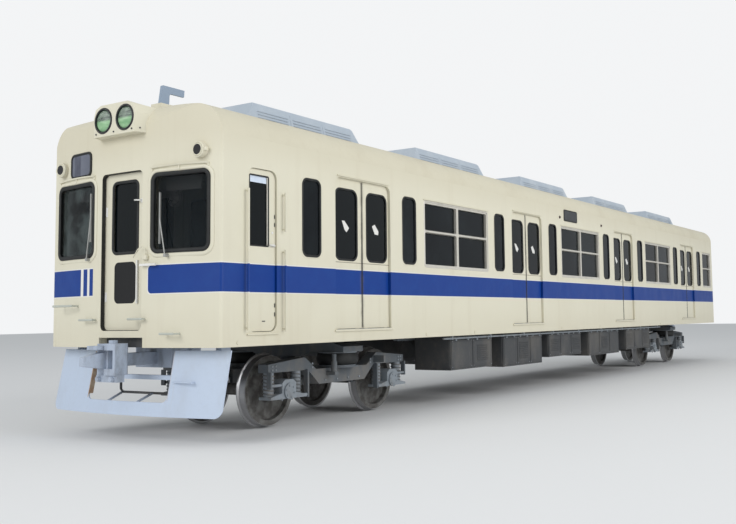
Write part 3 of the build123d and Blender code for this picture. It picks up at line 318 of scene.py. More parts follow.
def livery(name, front=False, pane=None, extra=None):
    """Cream paint with the band. pane and extra are functions of the shade: a window mask, and late changes."""
    shade = Shade(name, specular=0.26 if pane else 0.32)
    band = shade.z.within(*BAND, 0.003)
    edge = shade.z.within(BAND[0] - 0.010, BAND[1] + 0.010, 0.002)
    if front:
        ahead = shade.x.rise(9.30, 9.31)
        across, height = shade.y - 1.035, shade.z - (BAND[0] + BAND[1]) / 2
        panel = box_distance(across, height, 0.600, 0.154, 0.05).fall(-0.001, 0.001)
        halo = box_distance(across, height, 0.614, 0.168, 0.06).fall(-0.001, 0.001)
        left_part = shade.y.fall(-0.494, -0.490)
        bars = shade.y.within(-0.737, -0.684, 0.003) + shade.y.within(-0.605, -0.561, 0.003)
        band = band * (1 - ahead + ahead * (panel + left_part * (1 - bars)))
        edge = edge * (1 - ahead + ahead * (halo + left_part))
        reach = shade.x.away(shade.y, FRONT_X - FRONT_RADIUS).fall(6.375, 6.377)
        within_wall = reach * abs(shade.y).fall(*INNER_FACE)
    else:
        side_only = shade.x.rise(-9.742, -9.740)
        band = band * side_only
        edge = edge * side_only
        within_wall = abs(shade.y).fall(*INNER_FACE) * side_only
    within_wall = within_wall * (1 - outside_shoulder(shade) * shade.z.rise(3.325, 3.330))
    cream = weather(shade, CREAM, CREAM_DIRTY)
    # The upper wall is painted darker towards the roof: this is painted shade.
    cream = shade.mix(shade.z.rise(2.95, 3.45) * 0.35, cream, (0.56, 0.50, 0.36))
    blue = shade.mix(shade.noise(5.0).rise(0.4, 0.8) * 0.35, BLUE, (0.004, 0.060, 0.290))
    colour = shade.mix(band, shade.mix(edge * 0.8, cream, WHITE), blue)
    lining = shade.mix(shade.noise(3.0).rise(0.4, 0.8) * 0.3, INNER, INNER_DIRTY)
    colour = shade.mix(within_wall * shade.z.fall(3.64, 3.65), colour, lining)
    if extra:
        colour = extra(shade, colour)
    sealed(shade, colour, 0.36 + shade.noise(5.0, (1, 1, 0.4)) * 0.22, pane, shade.noise(1.3, detail=2.0))


def no_band(name, colour, dirt, pane=None, extra=None):
    """Plain weathered paint, for doors without the band."""
    shade = Shade(name, specular=0.26 if pane else 0.32)
    tint = weather(shade, colour, dirt)
    if extra:
        tint = extra(shade, tint)
    sealed(shade, tint, 0.38 + shade.noise(5.0) * 0.2, pane, shade.noise(1.3))


def from_door(shade):
    """Distance along the car from the nearest doorway's centre."""
    share = (shade.x - DOOR_FIRST) / DOOR_PITCH
    return abs(share - share.maths("ROUND")) * DOOR_PITCH


def leaf_pane(shade):
    middle, height, half_u, half_v, corner = LEAF_WINDOW
    return pane_of(from_door(shade) - middle, shade.z - height, half_u, half_v, corner, abs(shade.y),
                   1.3431, 1.3489)


def leaf_lines(shade, colour):
    """A dark line painted as the shade under the ledge below the panes, and the grime beside the closing edge."""
    ledge_shade_line = shade.z.within(B + 0.981, B + 0.990, 0.002)
    grime = from_door(shade).fall(0.004, 0.07)
    colour = shade.mix(ledge_shade_line * 0.75, colour, (0.13, 0.10, 0.07))
    return shade.mix(grime * 0.35 * shade.noise(9.0).rise(0.3, 0.7), colour, (0.16, 0.13, 0.10))


def window_across(x, half, low, high):
    """The pane of a door that stands across the car."""
    return lambda shade: pane_of(shade.y, shade.z - (B + (low + high) / 2), half, (high - low) / 2, 0.060,
                                 shade.x, x - 0.0028, x + 0.0028)


def crew_pane(shade):
    middle, height, half_u, half_v, corner = CREW_WINDOW
    return pane_of(shade.x - middle, shade.z - height, half_u, half_v, corner, abs(shade.y), 1.3522, 1.3578)


def number_panel(shade, colour):
    """The black rounded panel low on the centre door, left blank."""
    panel = box_distance(shade.y, shade.z - (B + 0.720), 0.178, 0.232, 0.065).fall(-0.001, 0.001)
    return shade.mix(panel * shade.x.rise(9.680, 9.682), colour, (0.012, 0.012, 0.013))


livery("side_paint")
livery("front_paint", front=True)
livery("leaf_paint", pane=leaf_pane, extra=leaf_lines)
livery("crew_door_paint", pane=crew_pane)
no_band("front_door_paint", CREAM, CREAM_DIRTY, window_across(9.667, 0.205, 1.055, 1.855), number_panel)
no_band("rear_door_paint", CREAM, CREAM_DIRTY, window_across(-9.700, 0.230, 1.030, 1.780))
no_band("inner_door_paint", INNER, (0.36, 0.36, 0.30), window_across(8.540, 0.190, 1.080, 1.780))
no_band("cream_paint", CREAM, CREAM_DIRTY)
print("painted", len(FINISH), "schemes")

# %% [markdown]
# ## Plain finishes
# The other surfaces are one finish each: roof, light metal, rubber, glass, cast steel, cloth. Each still has
# the grain or dust the real one shows, at its own scale.

# %% Plain finishes
def painted(name, colour, dirt, amount, roughness, scale, metallic=0.0, extra=None):
    """Paint with dusty patches and worn streaks."""
    shade = Shade(name, roughness, metallic)
    cloud = shade.noise(scale, (1, 1, 0.5), 4.0)
    fine = shade.noise(scale * 9)
    tint = shade.mix((cloud.rise(0.42, 0.7) * 0.7 + fine.rise(0.5, 0.8) * 0.4) * amount, colour, dirt)
    if extra:
        tint = extra(shade, tint)
    shade.set(base_color=tint, roughness=roughness - 0.08 + fine * 0.2)
    shade.bump(fine, 0.004, 0.2)


def roof_marks(shade, colour):
    """Rust that runs from the coolers' feet, and the pale lining inside."""
    foot = abs(shade.y).within(0.705, 0.80, 0.03) * shade.noise(2.6, (0.5, 1, 1), 4.0).rise(0.40, 0.62)
    runs = abs(shade.y).rise(0.72, 0.76) * abs(shade.y).fall(0.85, 1.25)
    runs = runs * shade.noise(3.0, (4.0, 0.25, 1), 4.0).rise(0.58, 0.78)
    colour = shade.mix(foot * 0.75 + runs * 0.30, colour, (0.23, 0.13, 0.065))
    lining = shade.y.away(shade.z, 0, -3.786).fall(7.4365, 7.438) * (1 - outside_shoulder(shade))
    return shade.mix(lining, colour, (0.62, 0.62, 0.57))


def aerial_parts(shade, colour):
    return shade.mix(shade.z.rise(3.879, 3.881), colour, (0.27, 0.34, 0.44))


def skirt_marks(shade, colour):
    """Rust on the folded edges of the opening and bare metal along the foot."""
    fold = abs(shade.y).within(0.648, 0.662, 0.002) * shade.z.within(0.47, 0.99, 0.01)
    fold = fold * (1 - shade.y.rise(-0.1, 0.1) * 0.7)
    rust = shade.mix(shade.noise(14.0).rise(0.35, 0.65), (0.36, 0.20, 0.09), (0.45, 0.33, 0.20))
    run = shade.noise(4.0, (1, 6.0, 0.2), 4.0).rise(0.62, 0.80)
    return shade.mix(run * 0.20, shade.mix(fold * 0.9, colour, rust), (0.46, 0.44, 0.40))


def lamp_parts(shade, colour):
    """Head lamps have dark rims; markers have pale rims and dark lenses."""
    lens = abs(shade.y).away(shade.z, 1.150, B + 2.103).fall(0.0628, 0.0640)
    rim = shade.mix(lens, (0.66, 0.62, 0.50), (0.010, 0.009, 0.010))
    return shade.mix(abs(shade.y).rise(0.90, 0.92), colour, rim)


def sign_parts(shade, colour):
    """The front pane is blue-grey over a dark blind; the side panes are nearly black."""
    blind = shade.y.within(-0.905, -0.770, 0.012)
    front_tint = shade.mix(blind, (0.115, 0.125, 0.165), (0.040, 0.045, 0.075))
    glare = shade.noise(3.0).rise(0.4, 0.8)
    return shade.mix(shade.x.rise(9.0, 9.1), shade.mix(glare, colour, (0.03, 0.035, 0.04)),
                     shade.mix(glare * 0.4, front_tint, (0.24, 0.26, 0.32)))


# Colour, dirt, amount of dirt, roughness, scale of the clouds, then metallic and late changes where needed
PAINTS = {
    "roof_paint": ((0.655, 0.612, 0.475), (0.50, 0.44, 0.31), 0.35, 0.55, 1.2, 0.0, roof_marks),
    "cooler_paint": ((0.42, 0.48, 0.55), (0.60, 0.64, 0.68), 0.5, 0.5, 2.0),
    "skirt_paint": ((0.50, 0.58, 0.71), (0.40, 0.43, 0.48), 0.35, 0.5, 2.5, 0.0, skirt_marks),
    "coupler_paint": ((0.42, 0.48, 0.58), (0.12, 0.12, 0.13), 0.55, 0.5, 9.0),
    "under_paint": ((0.055, 0.058, 0.062), (0.16, 0.145, 0.125), 0.6, 0.65, 2.0),
    "bogie_paint": ((0.10, 0.115, 0.13), (0.22, 0.19, 0.155), 0.6, 0.6, 5.0),
    "cast_paint": ((0.24, 0.27, 0.30), (0.13, 0.11, 0.09), 0.6, 0.6, 6.0),
    "inner_paint": (INNER, INNER_DIRTY, 0.3, 0.45, 2.0),
    "desk_paint": ((0.10, 0.15, 0.13), (0.20, 0.22, 0.20), 0.4, 0.5, 5.0),
    "aerial_paint": (CREAM, (0.45, 0.40, 0.32), 0.35, 0.4, 8.0, 0.0, aerial_parts),
    "lamp_paint": ((0.030, 0.036, 0.034), (0.09, 0.09, 0.08), 0.4, 0.35, 14.0, 0.0, lamp_parts),
    "sign_paint": ((0.012, 0.013, 0.016), (0.03, 0.03, 0.035), 0.3, 0.16, 6.0, 0.0, sign_parts),
    "black_metal": ((0.03, 0.03, 0.032), (0.12, 0.12, 0.12), 0.4, 0.45, 14.0),
    "wiper_metal": ((0.40, 0.40, 0.38), (0.16, 0.16, 0.15), 0.5, 0.4, 14.0, 0.4),
    "sash_metal": ((0.66, 0.63, 0.56), (0.42, 0.40, 0.36), 0.4, 0.38, 6.0, 0.30),
    "steel_tube": ((0.55, 0.56, 0.57), (0.34, 0.34, 0.34), 0.3, 0.28, 10.0, 0.9),
    "rubber": ((0.007, 0.008, 0.008), (0.030, 0.031, 0.031), 0.4, 0.6, 12.0),
    "floor_cover": ((0.15, 0.13, 0.11), (0.24, 0.22, 0.19), 0.5, 0.6, 4.0),
    "strap_grey": ((0.36, 0.36, 0.35), (0.24, 0.24, 0.23), 0.3, 0.45, 16.0),
    "white_trim": ((0.78, 0.77, 0.74), (0.52, 0.48, 0.40), 0.35, 0.4, 8.0),
    "spring_paint": ((0.13, 0.14, 0.15), (0.24, 0.19, 0.14), 0.6, 0.5, 14.0),
    "blind_cloth": ((0.66, 0.74, 0.86), (0.50, 0.58, 0.70), 0.3, 0.6, 20.0),
    "lamp_dark": ((0.045, 0.020, 0.016), (0.09, 0.07, 0.06), 0.3, 0.25, 20.0),
}
for name, values in PAINTS.items():
    painted(name, *values)

glass = Shade("dark_glass", roughness=0.06, specular=0.20)
clear = glass.x.rise(9.30, 9.40)
tint = glass.mix(glass.noise(1.1).rise(0.35, 0.75), (0.004, 0.006, 0.008), (0.013, 0.018, 0.021))
# A lighter grey-green patch on the left front pane is a painted reflection.
painted_reflection_patch = clear * glass.y.fall(-0.46, -0.42) * glass.noise(2.4, detail=4.0).rise(0.40, 0.60)
glass.set(base_color=glass.mix(painted_reflection_patch * 0.8, tint, (0.100, 0.125, 0.125)), alpha=0.88 - clear * 0.38)

DRESSED = {
    "side_paint": "side_wall_left side_wall_right rear_end handrails",
    "front_paint": "cab_end",
    "crew_door_paint": "crew_door_left crew_door_right",
    "front_door_paint": "front_gangway_door",
    "rear_door_paint": "rear_gangway_door",
    "inner_door_paint": "cab_partition_door",
    "roof_paint": "roof_shell",
    "cooler_paint": "roof_coolers",
    "skirt_paint": "skirt",
    "coupler_paint": "couplers",
    "under_paint": "underframe equipment_boxes air_tanks",
    "cast_paint": "front_axle_boxes rear_axle_boxes",
    "inner_paint": "cab_partition",
    "desk_paint": "driver_desk",
    "cream_paint": "head_lamp_box",
    "aerial_paint": "antenna",
    "lamp_paint": "lamps",
    "sign_paint": "destination_boxes",
    "wiper_metal": "wipers",
    "sash_metal": "window_frames",
    "steel_tube": "grab_rails",
    "rubber": "window_seals rear_gangway",
    "floor_cover": "floor",
    "dark_glass": "window_glass",
}
for finish, nodes in DRESSED.items():
    dress(finish, *nodes.split())
dress("leaf_paint", *[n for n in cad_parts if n.startswith("door_")])
dress("bogie_paint", *[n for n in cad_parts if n.endswith(("bogie_frame", "bogie_bolster", "brake_units"))])
print("finishes", len(FINISH))

# %% [markdown]
# ## Wheels
# A wheel that stands in a yard has a dark, rusty web and a bright tread. Distance from the axle decides,
# and each wheelset has its own axle, so each gets its own finish.

# %% Wheels
for name in [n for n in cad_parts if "wheelset" in n]:
    low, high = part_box(name)
    axle = (low + high) / 2
    steel = Shade(f"steel_{name}")
    rust = steel.mix(steel.noise(9.0).rise(0.35, 0.7), (0.080, 0.074, 0.068), (0.17, 0.168, 0.160))
    tread = steel.x.away(steel.z, axle.x, axle.z).rise(0.422, 0.428)
    steel.set(base_color=steel.mix(tread, rust, (0.42, 0.42, 0.43)), roughness=0.62 - tread * 0.3,
              metallic=0.25 + tread * 0.65)
    steel.bump(steel.noise(40.0), 0.004, 0.2)
    dress(f"steel_{name}", name)
print("wheel finishes made")

# %% [markdown]
# ## A small workshop for meshes
# Trim on a rail car is mostly four things: bevelled blocks, turned drums, bent tubes and rings that follow a
# window. Modifiers could make them one by one, but a class that gathers forms in one bmesh keeps a whole fitting
# in a single piece. A form is described flat, as u, v and height, and a function places it on the real surface.
# A with block gathers the forms and links the piece when it ends.

# %% Mesh workshop
HALF = 1.400
SIDES = (1, -1)
SIDE_NAMES = (("left", 1), ("right", -1))


def front_at(y):
    """The bowed front's x at a distance y from the centreline."""
    return FRONT_X - FRONT_RADIUS + math.sqrt(FRONT_RADIUS ** 2 - y * y)


def circle(centre, radius, count, upright=True):
    """Points round a centre, across the car when upright, or else level."""
    x, y, z = centre
    turns = [2 * math.pi * i / count for i in range(count)]
    if upright:
        return [Vector((x, y + radius * math.cos(a), z + radius * math.sin(a))) for a in turns]
    return [Vector((x + radius * math.cos(a), y + radius * math.sin(a), z)) for a in turns]


def rounded(half_u, half_v, corner, steps):
    """A rounded rectangle as a list of (u, v), counter-clockwise."""
    corner = max(corner, 0.0005)
    line = []
    for quarter, (su, sv) in enumerate(((1, 1), (-1, 1), (-1, -1), (1, -1))):
        for step in range(steps + 1):
            angle = math.pi / 2 * (quarter + step / steps)
            line.append((su * (half_u - corner) + corner * math.cos(angle),
                         sv * (half_v - corner) + corner * math.sin(angle)))
    return line


def on_side(side, x, z, y=HALF):
    """Places (u, v, height) on a side of the car: u runs aft on the left, forward on the right."""
    return lambda u, v, h: Vector((x - side * u, side * (y + h), z + v))


def on_front(y, z):
    """Places (u, v, height) on the bowed front."""
    return lambda u, v, h: Vector((front_at(y + u) + h, y + u, z + v))


def on_plane(x, y, z, way=1):
    """Places (u, v, height) on a flat face across the car that looks along +X or -X."""
    return lambda u, v, h: Vector((x + way * h, y + way * u, z + v))


class Shape:
    """Gathers closed forms into one mesh, and turns them into a piece that rides on a body."""

    def __init__(self, name, finish, body="body", slot="", smooth=False):
        self.mesh = bmesh.new()
        self.kept = (name, finish, body, slot, smooth)

    def __enter__(self):
        return self

    def __exit__(self, *_):
        bmesh.ops.recalc_face_normals(self.mesh, faces=self.mesh.faces)
        data = bpy.data.meshes.new(self.kept[0])
        self.mesh.to_mesh(data)
        self.mesh.free()
        self.piece = settle(data, *self.kept)

    def loops(self, rows, around=True, along=False, caps=True):
        """Skins rows of points; around closes each row, along joins the last row to the first."""
        made = [[self.mesh.verts.new(point) for point in row] for row in rows]
        count = len(made[0])
        for first, second in zip(made, made[1:] + made[:1] if along else made[1:]):
            for i in range(count if around else count - 1):
                j = (i + 1) % count
                self.mesh.faces.new((first[i], first[j], second[j], second[i]))
        if caps and around and not along:
            self.mesh.faces.new(made[0][::-1])
            self.mesh.faces.new(made[-1])

    def prism(self, places, outline):
        """A bar along the car between two x; outline lists (y, z)."""
        self.loops([[Vector((x, y, z)) for y, z in outline] for x in places])

    def bowed(self, first, last, steps, outline, arch=0.0):
        """A bar along the bowed front between two y, risen in the middle; outline lists (ahead, z)."""
        rows = []
        for i in range(steps + 1):
            y = first + i * (last - first) / steps
            lift = arch * math.sin(math.pi * i / steps)
            rows.append([Vector((front_at(y) + ahead, y, z + lift)) for ahead, z in outline])
        self.loops(rows)

    def block(self, corner, opposite, edge=0.0):
        """A bevelled block between any two opposite corners."""
        made = bmesh.ops.create_cube(self.mesh, size=1.0)["verts"]
        size = Vector([abs(a - b) for a, b in zip(corner, opposite)])
        bmesh.ops.scale(self.mesh, vec=size, verts=made)
        bmesh.ops.translate(self.mesh, vec=(Vector(corner) + Vector(opposite)) / 2, verts=made)
        if edge:
            edges = list({e for v in made for e in v.link_edges})
            bmesh.ops.bevel(self.mesh, geom=edges, offset=edge, segments=2, profile=0.5, affect="EDGES")

    def drum(self, start, end, radii, sides=20):
        """A turned form between two points; radii lists (share of the length, radius)."""
        start = Vector(start)
        along = Vector(end) - start
        aim = along.to_track_quat("Z", "Y")
        self.loops([[start + along * share + aim @ point for point in circle((0, 0, 0), radius, sides, False)]
                    for share, radius in radii])

    def tube(self, path, radius, sides=8, closed=False):
        """A bent tube through points, with its ends closed."""
        path = [Vector(p) for p in path]
        rows = []
        normal = None
        for i, point in enumerate(path):
            before = path[i - 1] if i or closed else point
            after = path[(i + 1) % len(path)] if i < len(path) - 1 or closed else point
            along = (after - before).normalized()
            if normal is None:
                normal = along.orthogonal().normalized()
            normal = (normal - along * normal.dot(along)).normalized()
            side = along.cross(normal)
            rows.append([point + radius * (math.cos(a) * normal + math.sin(a) * side)
                         for a in (2 * math.pi * k / sides for k in range(sides))])
        self.loops(rows, along=closed, caps=not closed)

    def ring(self, place, half_u, half_v, corner, profile, steps=6):
        """A ring round a rounded rectangle; profile lists (offset outward, height)."""
        self.loops([[place(u, v, h) for u, v in rounded(half_u + o, half_v + o, corner + o, steps)]
                    for o, h in profile], along=True)

    def plate(self, place, half_u, half_v, corner, levels, steps):
        """A rounded plate; levels lists (offset outward, height)."""
        self.loops([[place(u, v, h) for u, v in rounded(half_u + o, half_v + o, corner + o, steps)]
                    for o, h in levels])


def settle(data, name, finish, body="body", slot="", smooth=False):
    """Links a mesh as a piece with its finish and body; slot is not used."""
    data.materials.clear()
    data.materials.append(FINISH[finish])
    data.polygons.foreach_set("use_smooth", [smooth] * len(data.polygons))
    piece = place_object(name, data)
    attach(piece, body)
    return piece


print("workshop ready")

# %% [markdown]
# ## Patterns that repeat
# Bolts, spring coils, louvres and hand straps repeat by the dozen. Geometry Nodes put one form on every point of
# a list and turn it to face the way that an attribute says. The tree is built here once for each kind of form,
# its sizes are named inputs, and the result is turned into a plain mesh.

# %% Repeating patterns
class Pattern:
    """A Geometry Nodes tree that puts a form on points."""

    def __init__(self, name, **sizes):
        self.tree = bpy.data.node_groups.new(name, "GeometryNodeTree")
        self.keys = {}
        self.socket("Geometry", "Geometry")
        self.socket("Geometry", "Geometry", "OUTPUT")
        for key, amount in sizes.items():
            self.socket(key, type(amount).__name__.title()).default_value = amount
        self.socket("Finish", "Material")
        self.source = self.tree.nodes.new("NodeGroupInput").outputs
        self.out = self.tree.nodes.new("NodeGroupOutput")

    def socket(self, key, kind, way="INPUT"):
        made = self.tree.interface.new_socket(key, in_out=way, socket_type="NodeSocket" + kind)
        self.keys[key] = made.identifier
        return made

    def node(self, kind, inputs=None, **settings):
        """Adds a node and returns its output; an input is a number, a socket, or the name of a size."""
        made = self.tree.nodes.new(kind)
        for key, setting in settings.items():
            setattr(made, key, setting)
        for key, item in (inputs or {}).items():
            if item in self.keys:
                item = self.source[item]
            if isinstance(item, bpy.types.NodeSocket):
                self.tree.links.new(item, made.inputs[key])
            else:
                made.inputs[key].default_value = item
        return made.outputs[0]

    def spread(self, form):
        """Instances the form on the points, facing the attribute, and ends the tree."""
        facing = self.node("GeometryNodeInputNamedAttribute", {0: "facing"}, data_type="FLOAT_VECTOR")
        turn = self.node("FunctionNodeAlignRotationToVector", {"Vector": facing}, axis="Z")
        points = self.node("GeometryNodeInstanceOnPoints", {"Points": "Geometry", "Instance": form, "Rotation": turn})
        real = self.node("GeometryNodeRealizeInstances", {"Geometry": points})
        done = self.node("GeometryNodeSetMaterial", {"Geometry": real, "Material": "Finish"})
        self.tree.links.new(done, self.out.inputs[0])

    def on(self, name, places, finish, body="body", slot="", smooth=False, **sizes):
        """Makes a plain piece from (point, facing) pairs."""
        seed = bpy.data.meshes.new(name + "_points")
        seed.from_pydata([tuple(p) for p, _ in places], [], [])
        facing = seed.attributes.new("facing", "FLOAT_VECTOR", "POINT")
        for item, (_, way) in zip(facing.data, places):
            item.vector = way
        holder = place_object(name + "_points", seed)
        modifier = holder.modifiers.new("pattern", "NODES")
        modifier.node_group = self.tree
        for key, amount in {**sizes, "Finish": FINISH[finish]}.items():
            modifier[self.keys[key]] = amount
        data = bpy.data.meshes.new_from_object(holder.evaluated_get(bpy.context.evaluated_depsgraph_get()))
        data.name = name
        bpy.data.objects.remove(holder)
        settle(data, name, finish, body, slot, smooth)


bolts = Pattern("bolt_pattern", Radius=0.008, Depth=0.006, Sides=6)
bolts.spread(bolts.node("GeometryNodeMeshCylinder", {"Vertices": "Sides", "Radius": "Radius", "Depth": "Depth"}))

coils = Pattern("coil_pattern", Radius=0.075, Wire=0.013, Height=0.28, Turns=5.0)
helix = coils.node("GeometryNodeCurveSpiral", {"Resolution": 14, "Rotations": "Turns", "Start Radius": "Radius",
                                               "End Radius": "Radius", "Height": "Height"})
section = coils.node("GeometryNodeCurvePrimitiveCircle", {"Resolution": 7, "Radius": "Wire"})
coils.spread(coils.node("GeometryNodeCurveToMesh", {"Curve": helix, "Profile Curve": section, "Fill Caps": True}))

slats = Pattern("slat_pattern", Length=0.4, Width=0.03, Thickness=0.004)
sizes = slats.node("ShaderNodeCombineXYZ", {"X": "Length", "Y": "Width", "Z": "Thickness"})
slats.spread(slats.node("GeometryNodeMeshCube", {"Size": sizes}))
print("patterns", [g.name for g in bpy.data.node_groups])

# %% [markdown]
# ## Front windows and the sign
# Each front window sits in a thick rubber moulding with a pressed rim of the body round it. The front is
# bowed, so a flat ring would float at its ends: the ring is described by offset and height, and the bowed
# placement carries it over the curve.

# %% Front windows and the sign
PANE = (0.391, 0.4355, 0.09)
PANE_Y = 0.871
PANE_Z = B + 1.4625
with Shape("front_window_rims", "cream_paint", smooth=True) as form:
    for side in SIDES:
        form.ring(on_front(side * PANE_Y, PANE_Z), *PANE,
                  [(0.008, -0.003), (0.010, 0.008), (0.026, 0.013), (0.048, 0.009), (0.058, -0.003)], 8)
with Shape("front_gaskets", "rubber", smooth=True) as form:
    for side in SIDES:
        form.ring(on_front(side * PANE_Y, PANE_Z), *PANE,
                  [(-0.040, -0.004), (-0.036, 0.010), (-0.012, 0.016), (0.006, 0.013), (0.011, -0.003)], 8)
    form.ring(on_front(-0.765, B + 2.1175), 0.205, 0.1325, 0.056,
              [(-0.014, 0.007), (-0.012, 0.014), (0.010, 0.016), (0.016, 0.010), (0.018, -0.003)])
print("rings round the front windows")

# %% Centre door fittings
DOOR = "front_gangway_door"
DOOR_X = 9.687
DOOR_PANE = (0.205, 0.400, 0.060)
with Shape("front_door_gasket", "rubber", DOOR, smooth=True) as form:
    form.ring(on_plane(DOOR_X, 0, B + 1.455), *DOOR_PANE,
              [(-0.016, -0.004), (-0.014, 0.006), (0.006, 0.010), (0.018, 0.006), (0.022, -0.003)])
    form.ring(on_plane(DOOR_X - 0.040, 0, B + 1.455, -1), *DOOR_PANE,
              [(-0.014, -0.004), (-0.012, 0.005), (0.014, 0.005), (0.016, -0.003)])

# A black rubber lining over the whole depth of the doorway's jambs and head: partly a real seal, partly painted shade
# in the recess.
with Shape("front_doorway_rubber_and_shade", "rubber") as form:
    form.ring(on_plane(9.690, 0, B + 1.0725), 0.340, 0.8875, 0.060,
              [(0.001, 0.0), (-0.003, 0.001), (-0.003, 0.048), (0.001, 0.049)], 8)

with Shape("front_door_handle", "white_trim", DOOR, smooth=True) as form:
    form.drum((DOOR_X, 0.292, B + 1.625), (9.712, 0.292, B + 1.625), [(0, 0.026), (0.8, 0.026), (1, 0.020)])
    form.tube([(9.705, 0.292, B + 1.625), (9.725, 0.280, B + 1.626), (9.727, 0.225, B + 1.632),
               (9.724, 0.190, B + 1.634)], 0.009)
    form.drum((DOOR_X, 0.292, B + 1.540), (9.694, 0.292, B + 1.540), [(0, 0.016), (1, 0.014)])
    for z in (0.510, 1.480):
        form.block((9.686, -0.330, B + z), (9.694, -0.300, B + z + 0.110), 0.003)

with Shape("door_white_bar", "white_trim", DOOR) as form:
    form.block((9.688, 0.206, B + 0.486), (9.712, 0.228, B + 0.965), 0.004)
    for z in (0.520, 0.930):
        form.block((9.686, 0.208, B + z), (9.700, 0.226, B + z + 0.03), 0.002)

with Shape("front_white_bar", "white_trim") as form:
    for y in (0.385, 0.520):
        form.block((front_at(y) - 0.003, y - 0.012, B + 0.888), (front_at(y) + 0.040, y + 0.012, B + 0.912), 0.003)
    form.bowed(0.352, 0.585, 7, [(0.034, B + 0.886), (0.048, B + 0.888), (0.048, B + 0.912), (0.034, B + 0.914)])

hook_x = front_at(0.40)
with Shape("safety_hook", "cream_paint", smooth=True) as form:
    form.block((hook_x - 0.006, 0.372, B + 0.955), (hook_x + 0.034, 0.444, B + 1.008), 0.008)
    form.tube([(hook_x + 0.02, 0.43, B + 1.003), (hook_x + 0.03, 0.415, B + 1.075), (hook_x + 0.045, 0.38, B + 1.10),
               (hook_x + 0.05, 0.33, B + 1.075), (hook_x + 0.05, 0.255, B + 0.985)], 0.0055)
print("centre door fittings")

# %% [markdown]
# ## Gutters, lamps and lenses
# A thin gutter with three small hooks keeps rain off each windscreen. A head lamp's glass is ribbed and set
# a little back in its rim. A cap of a sphere, made as rings of points, gives the bulge; the ribs are bump.

# %% Gutters
GUTTER_Z = B + 1.965
with Shape("front_gutters", "cream_paint") as form:
    for side in SIDES:
        form.bowed(side * 0.476, side * 1.250, 14,
                   [(-0.004, GUTTER_Z - 0.008), (0.020, GUTTER_Z - 0.010), (0.026, GUTTER_Z + 0.006),
                    (0.020, GUTTER_Z - 0.004), (-0.004, GUTTER_Z + 0.002)], 0.010)
        for y in (0.486, 0.863, 1.240):
            x = front_at(y)
            form.block((x - 0.004, side * y - 0.011, B + 1.925), (x + 0.012, side * y + 0.011, B + 1.972), 0.003)

# %% Lamp glasses and rims
LAMP_X = 9.865
LAMP_Y = 0.180
LAMP_Z = B + 2.548
LAMP_RADIUS = 0.1275
CAP_STEPS = 9
lens_glass = Shade("lens_glass", specular=0.7)
height = (lens_glass.z - LAMP_Z) / LAMP_RADIUS
across = (abs(lens_glass.y) - LAMP_Y) / LAMP_RADIUS
glow = lens_glass.noise(16.0, (1, 0.4, 1.6))
# The upper half of the lens is a painted dark reflection over the green glass below; glow adds brighter streaks as
# painted highlights and varies the roughness, and shadow is painted shade towards the rim.
upper_reflection = lens_glass.mix(glow.rise(0.35, 0.7), (0.055, 0.085, 0.062), (0.22, 0.30, 0.22))
lower = lens_glass.mix(glow.rise(0.3, 0.7), (0.22, 0.44, 0.22), (0.38, 0.62, 0.35))
shadow = (across ** 2.0 + height ** 2.0).rise(0.62, 1.0)
tint = lens_glass.mix((height + glow * 0.3).rise(0.02, 0.24), lower, upper_reflection)
lens_glass.set(base_color=lens_glass.mix(shadow * 0.7, tint, (0.05, 0.085, 0.06)), roughness=0.10 + glow * 0.1)
lens_glass.bump((lens_glass.y * 420.0).maths("SINE"), 0.002, 0.6)

with Shape("lamp_lenses", "lens_glass", slot="lamp_metal", smooth=True) as form:
    for side in SIDES:
        rows = [circle((LAMP_X - 0.0158, side * LAMP_Y, LAMP_Z), LAMP_RADIUS, 40)]
        for step in range(CAP_STEPS):
            bend = math.pi / 2 * step / CAP_STEPS
            rows.append(circle((LAMP_X - 0.014 + 0.020 * math.sin(bend), side * LAMP_Y, LAMP_Z),
                               LAMP_RADIUS * math.cos(bend), 40))
        form.loops(rows)

with Shape("lamp_rims", "black_metal", slot="lamp_metal", smooth=True) as form:
    for side in SIDES:
        for ahead, radius, wire in ((0.006, 0.134, 0.0065), (0.0, 0.146, 0.005)):
            form.tube(circle((LAMP_X + ahead, side * LAMP_Y, LAMP_Z), radius, 40), wire, 6, closed=True)

with Shape("marker_rims", "cream_paint", slot="lamp_metal", smooth=True) as form:
    for side in SIDES:
        x, y, z = front_at(1.238) + 0.071, side * 1.150, B + 2.103
        for ahead, radius, wire in ((0.0, 0.079, 0.009), (0.003, 0.060, 0.010)):
            form.tube(circle((x + ahead, y, z), radius, 32), wire, 8, closed=True)
        form.block((x - 0.05, y + side * 0.082, z - 0.02), (x - 0.005, y + side * 0.108, z + 0.02), 0.004)

hood_bolts = [((LAMP_X + 0.002, side * 0.300, B + 2.405), (1, 0, 0)) for side in (1, 0, -1)]
hood_bolts += [((LAMP_X - 0.06, side * 0.361, B + 2.415), (0.3, side, 0)) for side in SIDES]
bolts.on("hood_bolts", hood_bolts, "black_metal", slot="body_paint", Radius=0.010, Depth=0.012)
print("lamps and gutters")

# %% [markdown]
# ## Side windows
# Narrow windows beside the doors sit in round-cornered rubber. The pairs of wide windows slide in light metal
# sashes, so they get beads, a drip strip and small catches. The narrow ones are rings in one mesh for both sides:
# twenty separate objects would look the same and be slower to change.

# %% Narrow windows
DOORS = [DOOR_FIRST + n * DOOR_PITCH for n in (1, 0, -1, -2)]
for name, finish, profile in (
        ("narrow_window_rubbers", "rubber",
         [(-0.021, -0.006), (-0.018, 0.005), (-0.004, 0.009), (0.004, 0.008), (0.008, -0.002)]),
        ("narrow_window_rims", "cream_paint", [(0.007, -0.002), (0.008, 0.004), (0.020, 0.003), (0.027, -0.002)])):
    with Shape(name, finish, smooth=True) as form:
        for side in SIDES:
            for x in [door + way * 1.053 for door in DOORS for way in (1, -1)]:
                form.ring(on_side(side, x, B + 1.485), 0.170, 0.464, 0.085, profile)
print("narrow windows", 4 * len(DOORS))

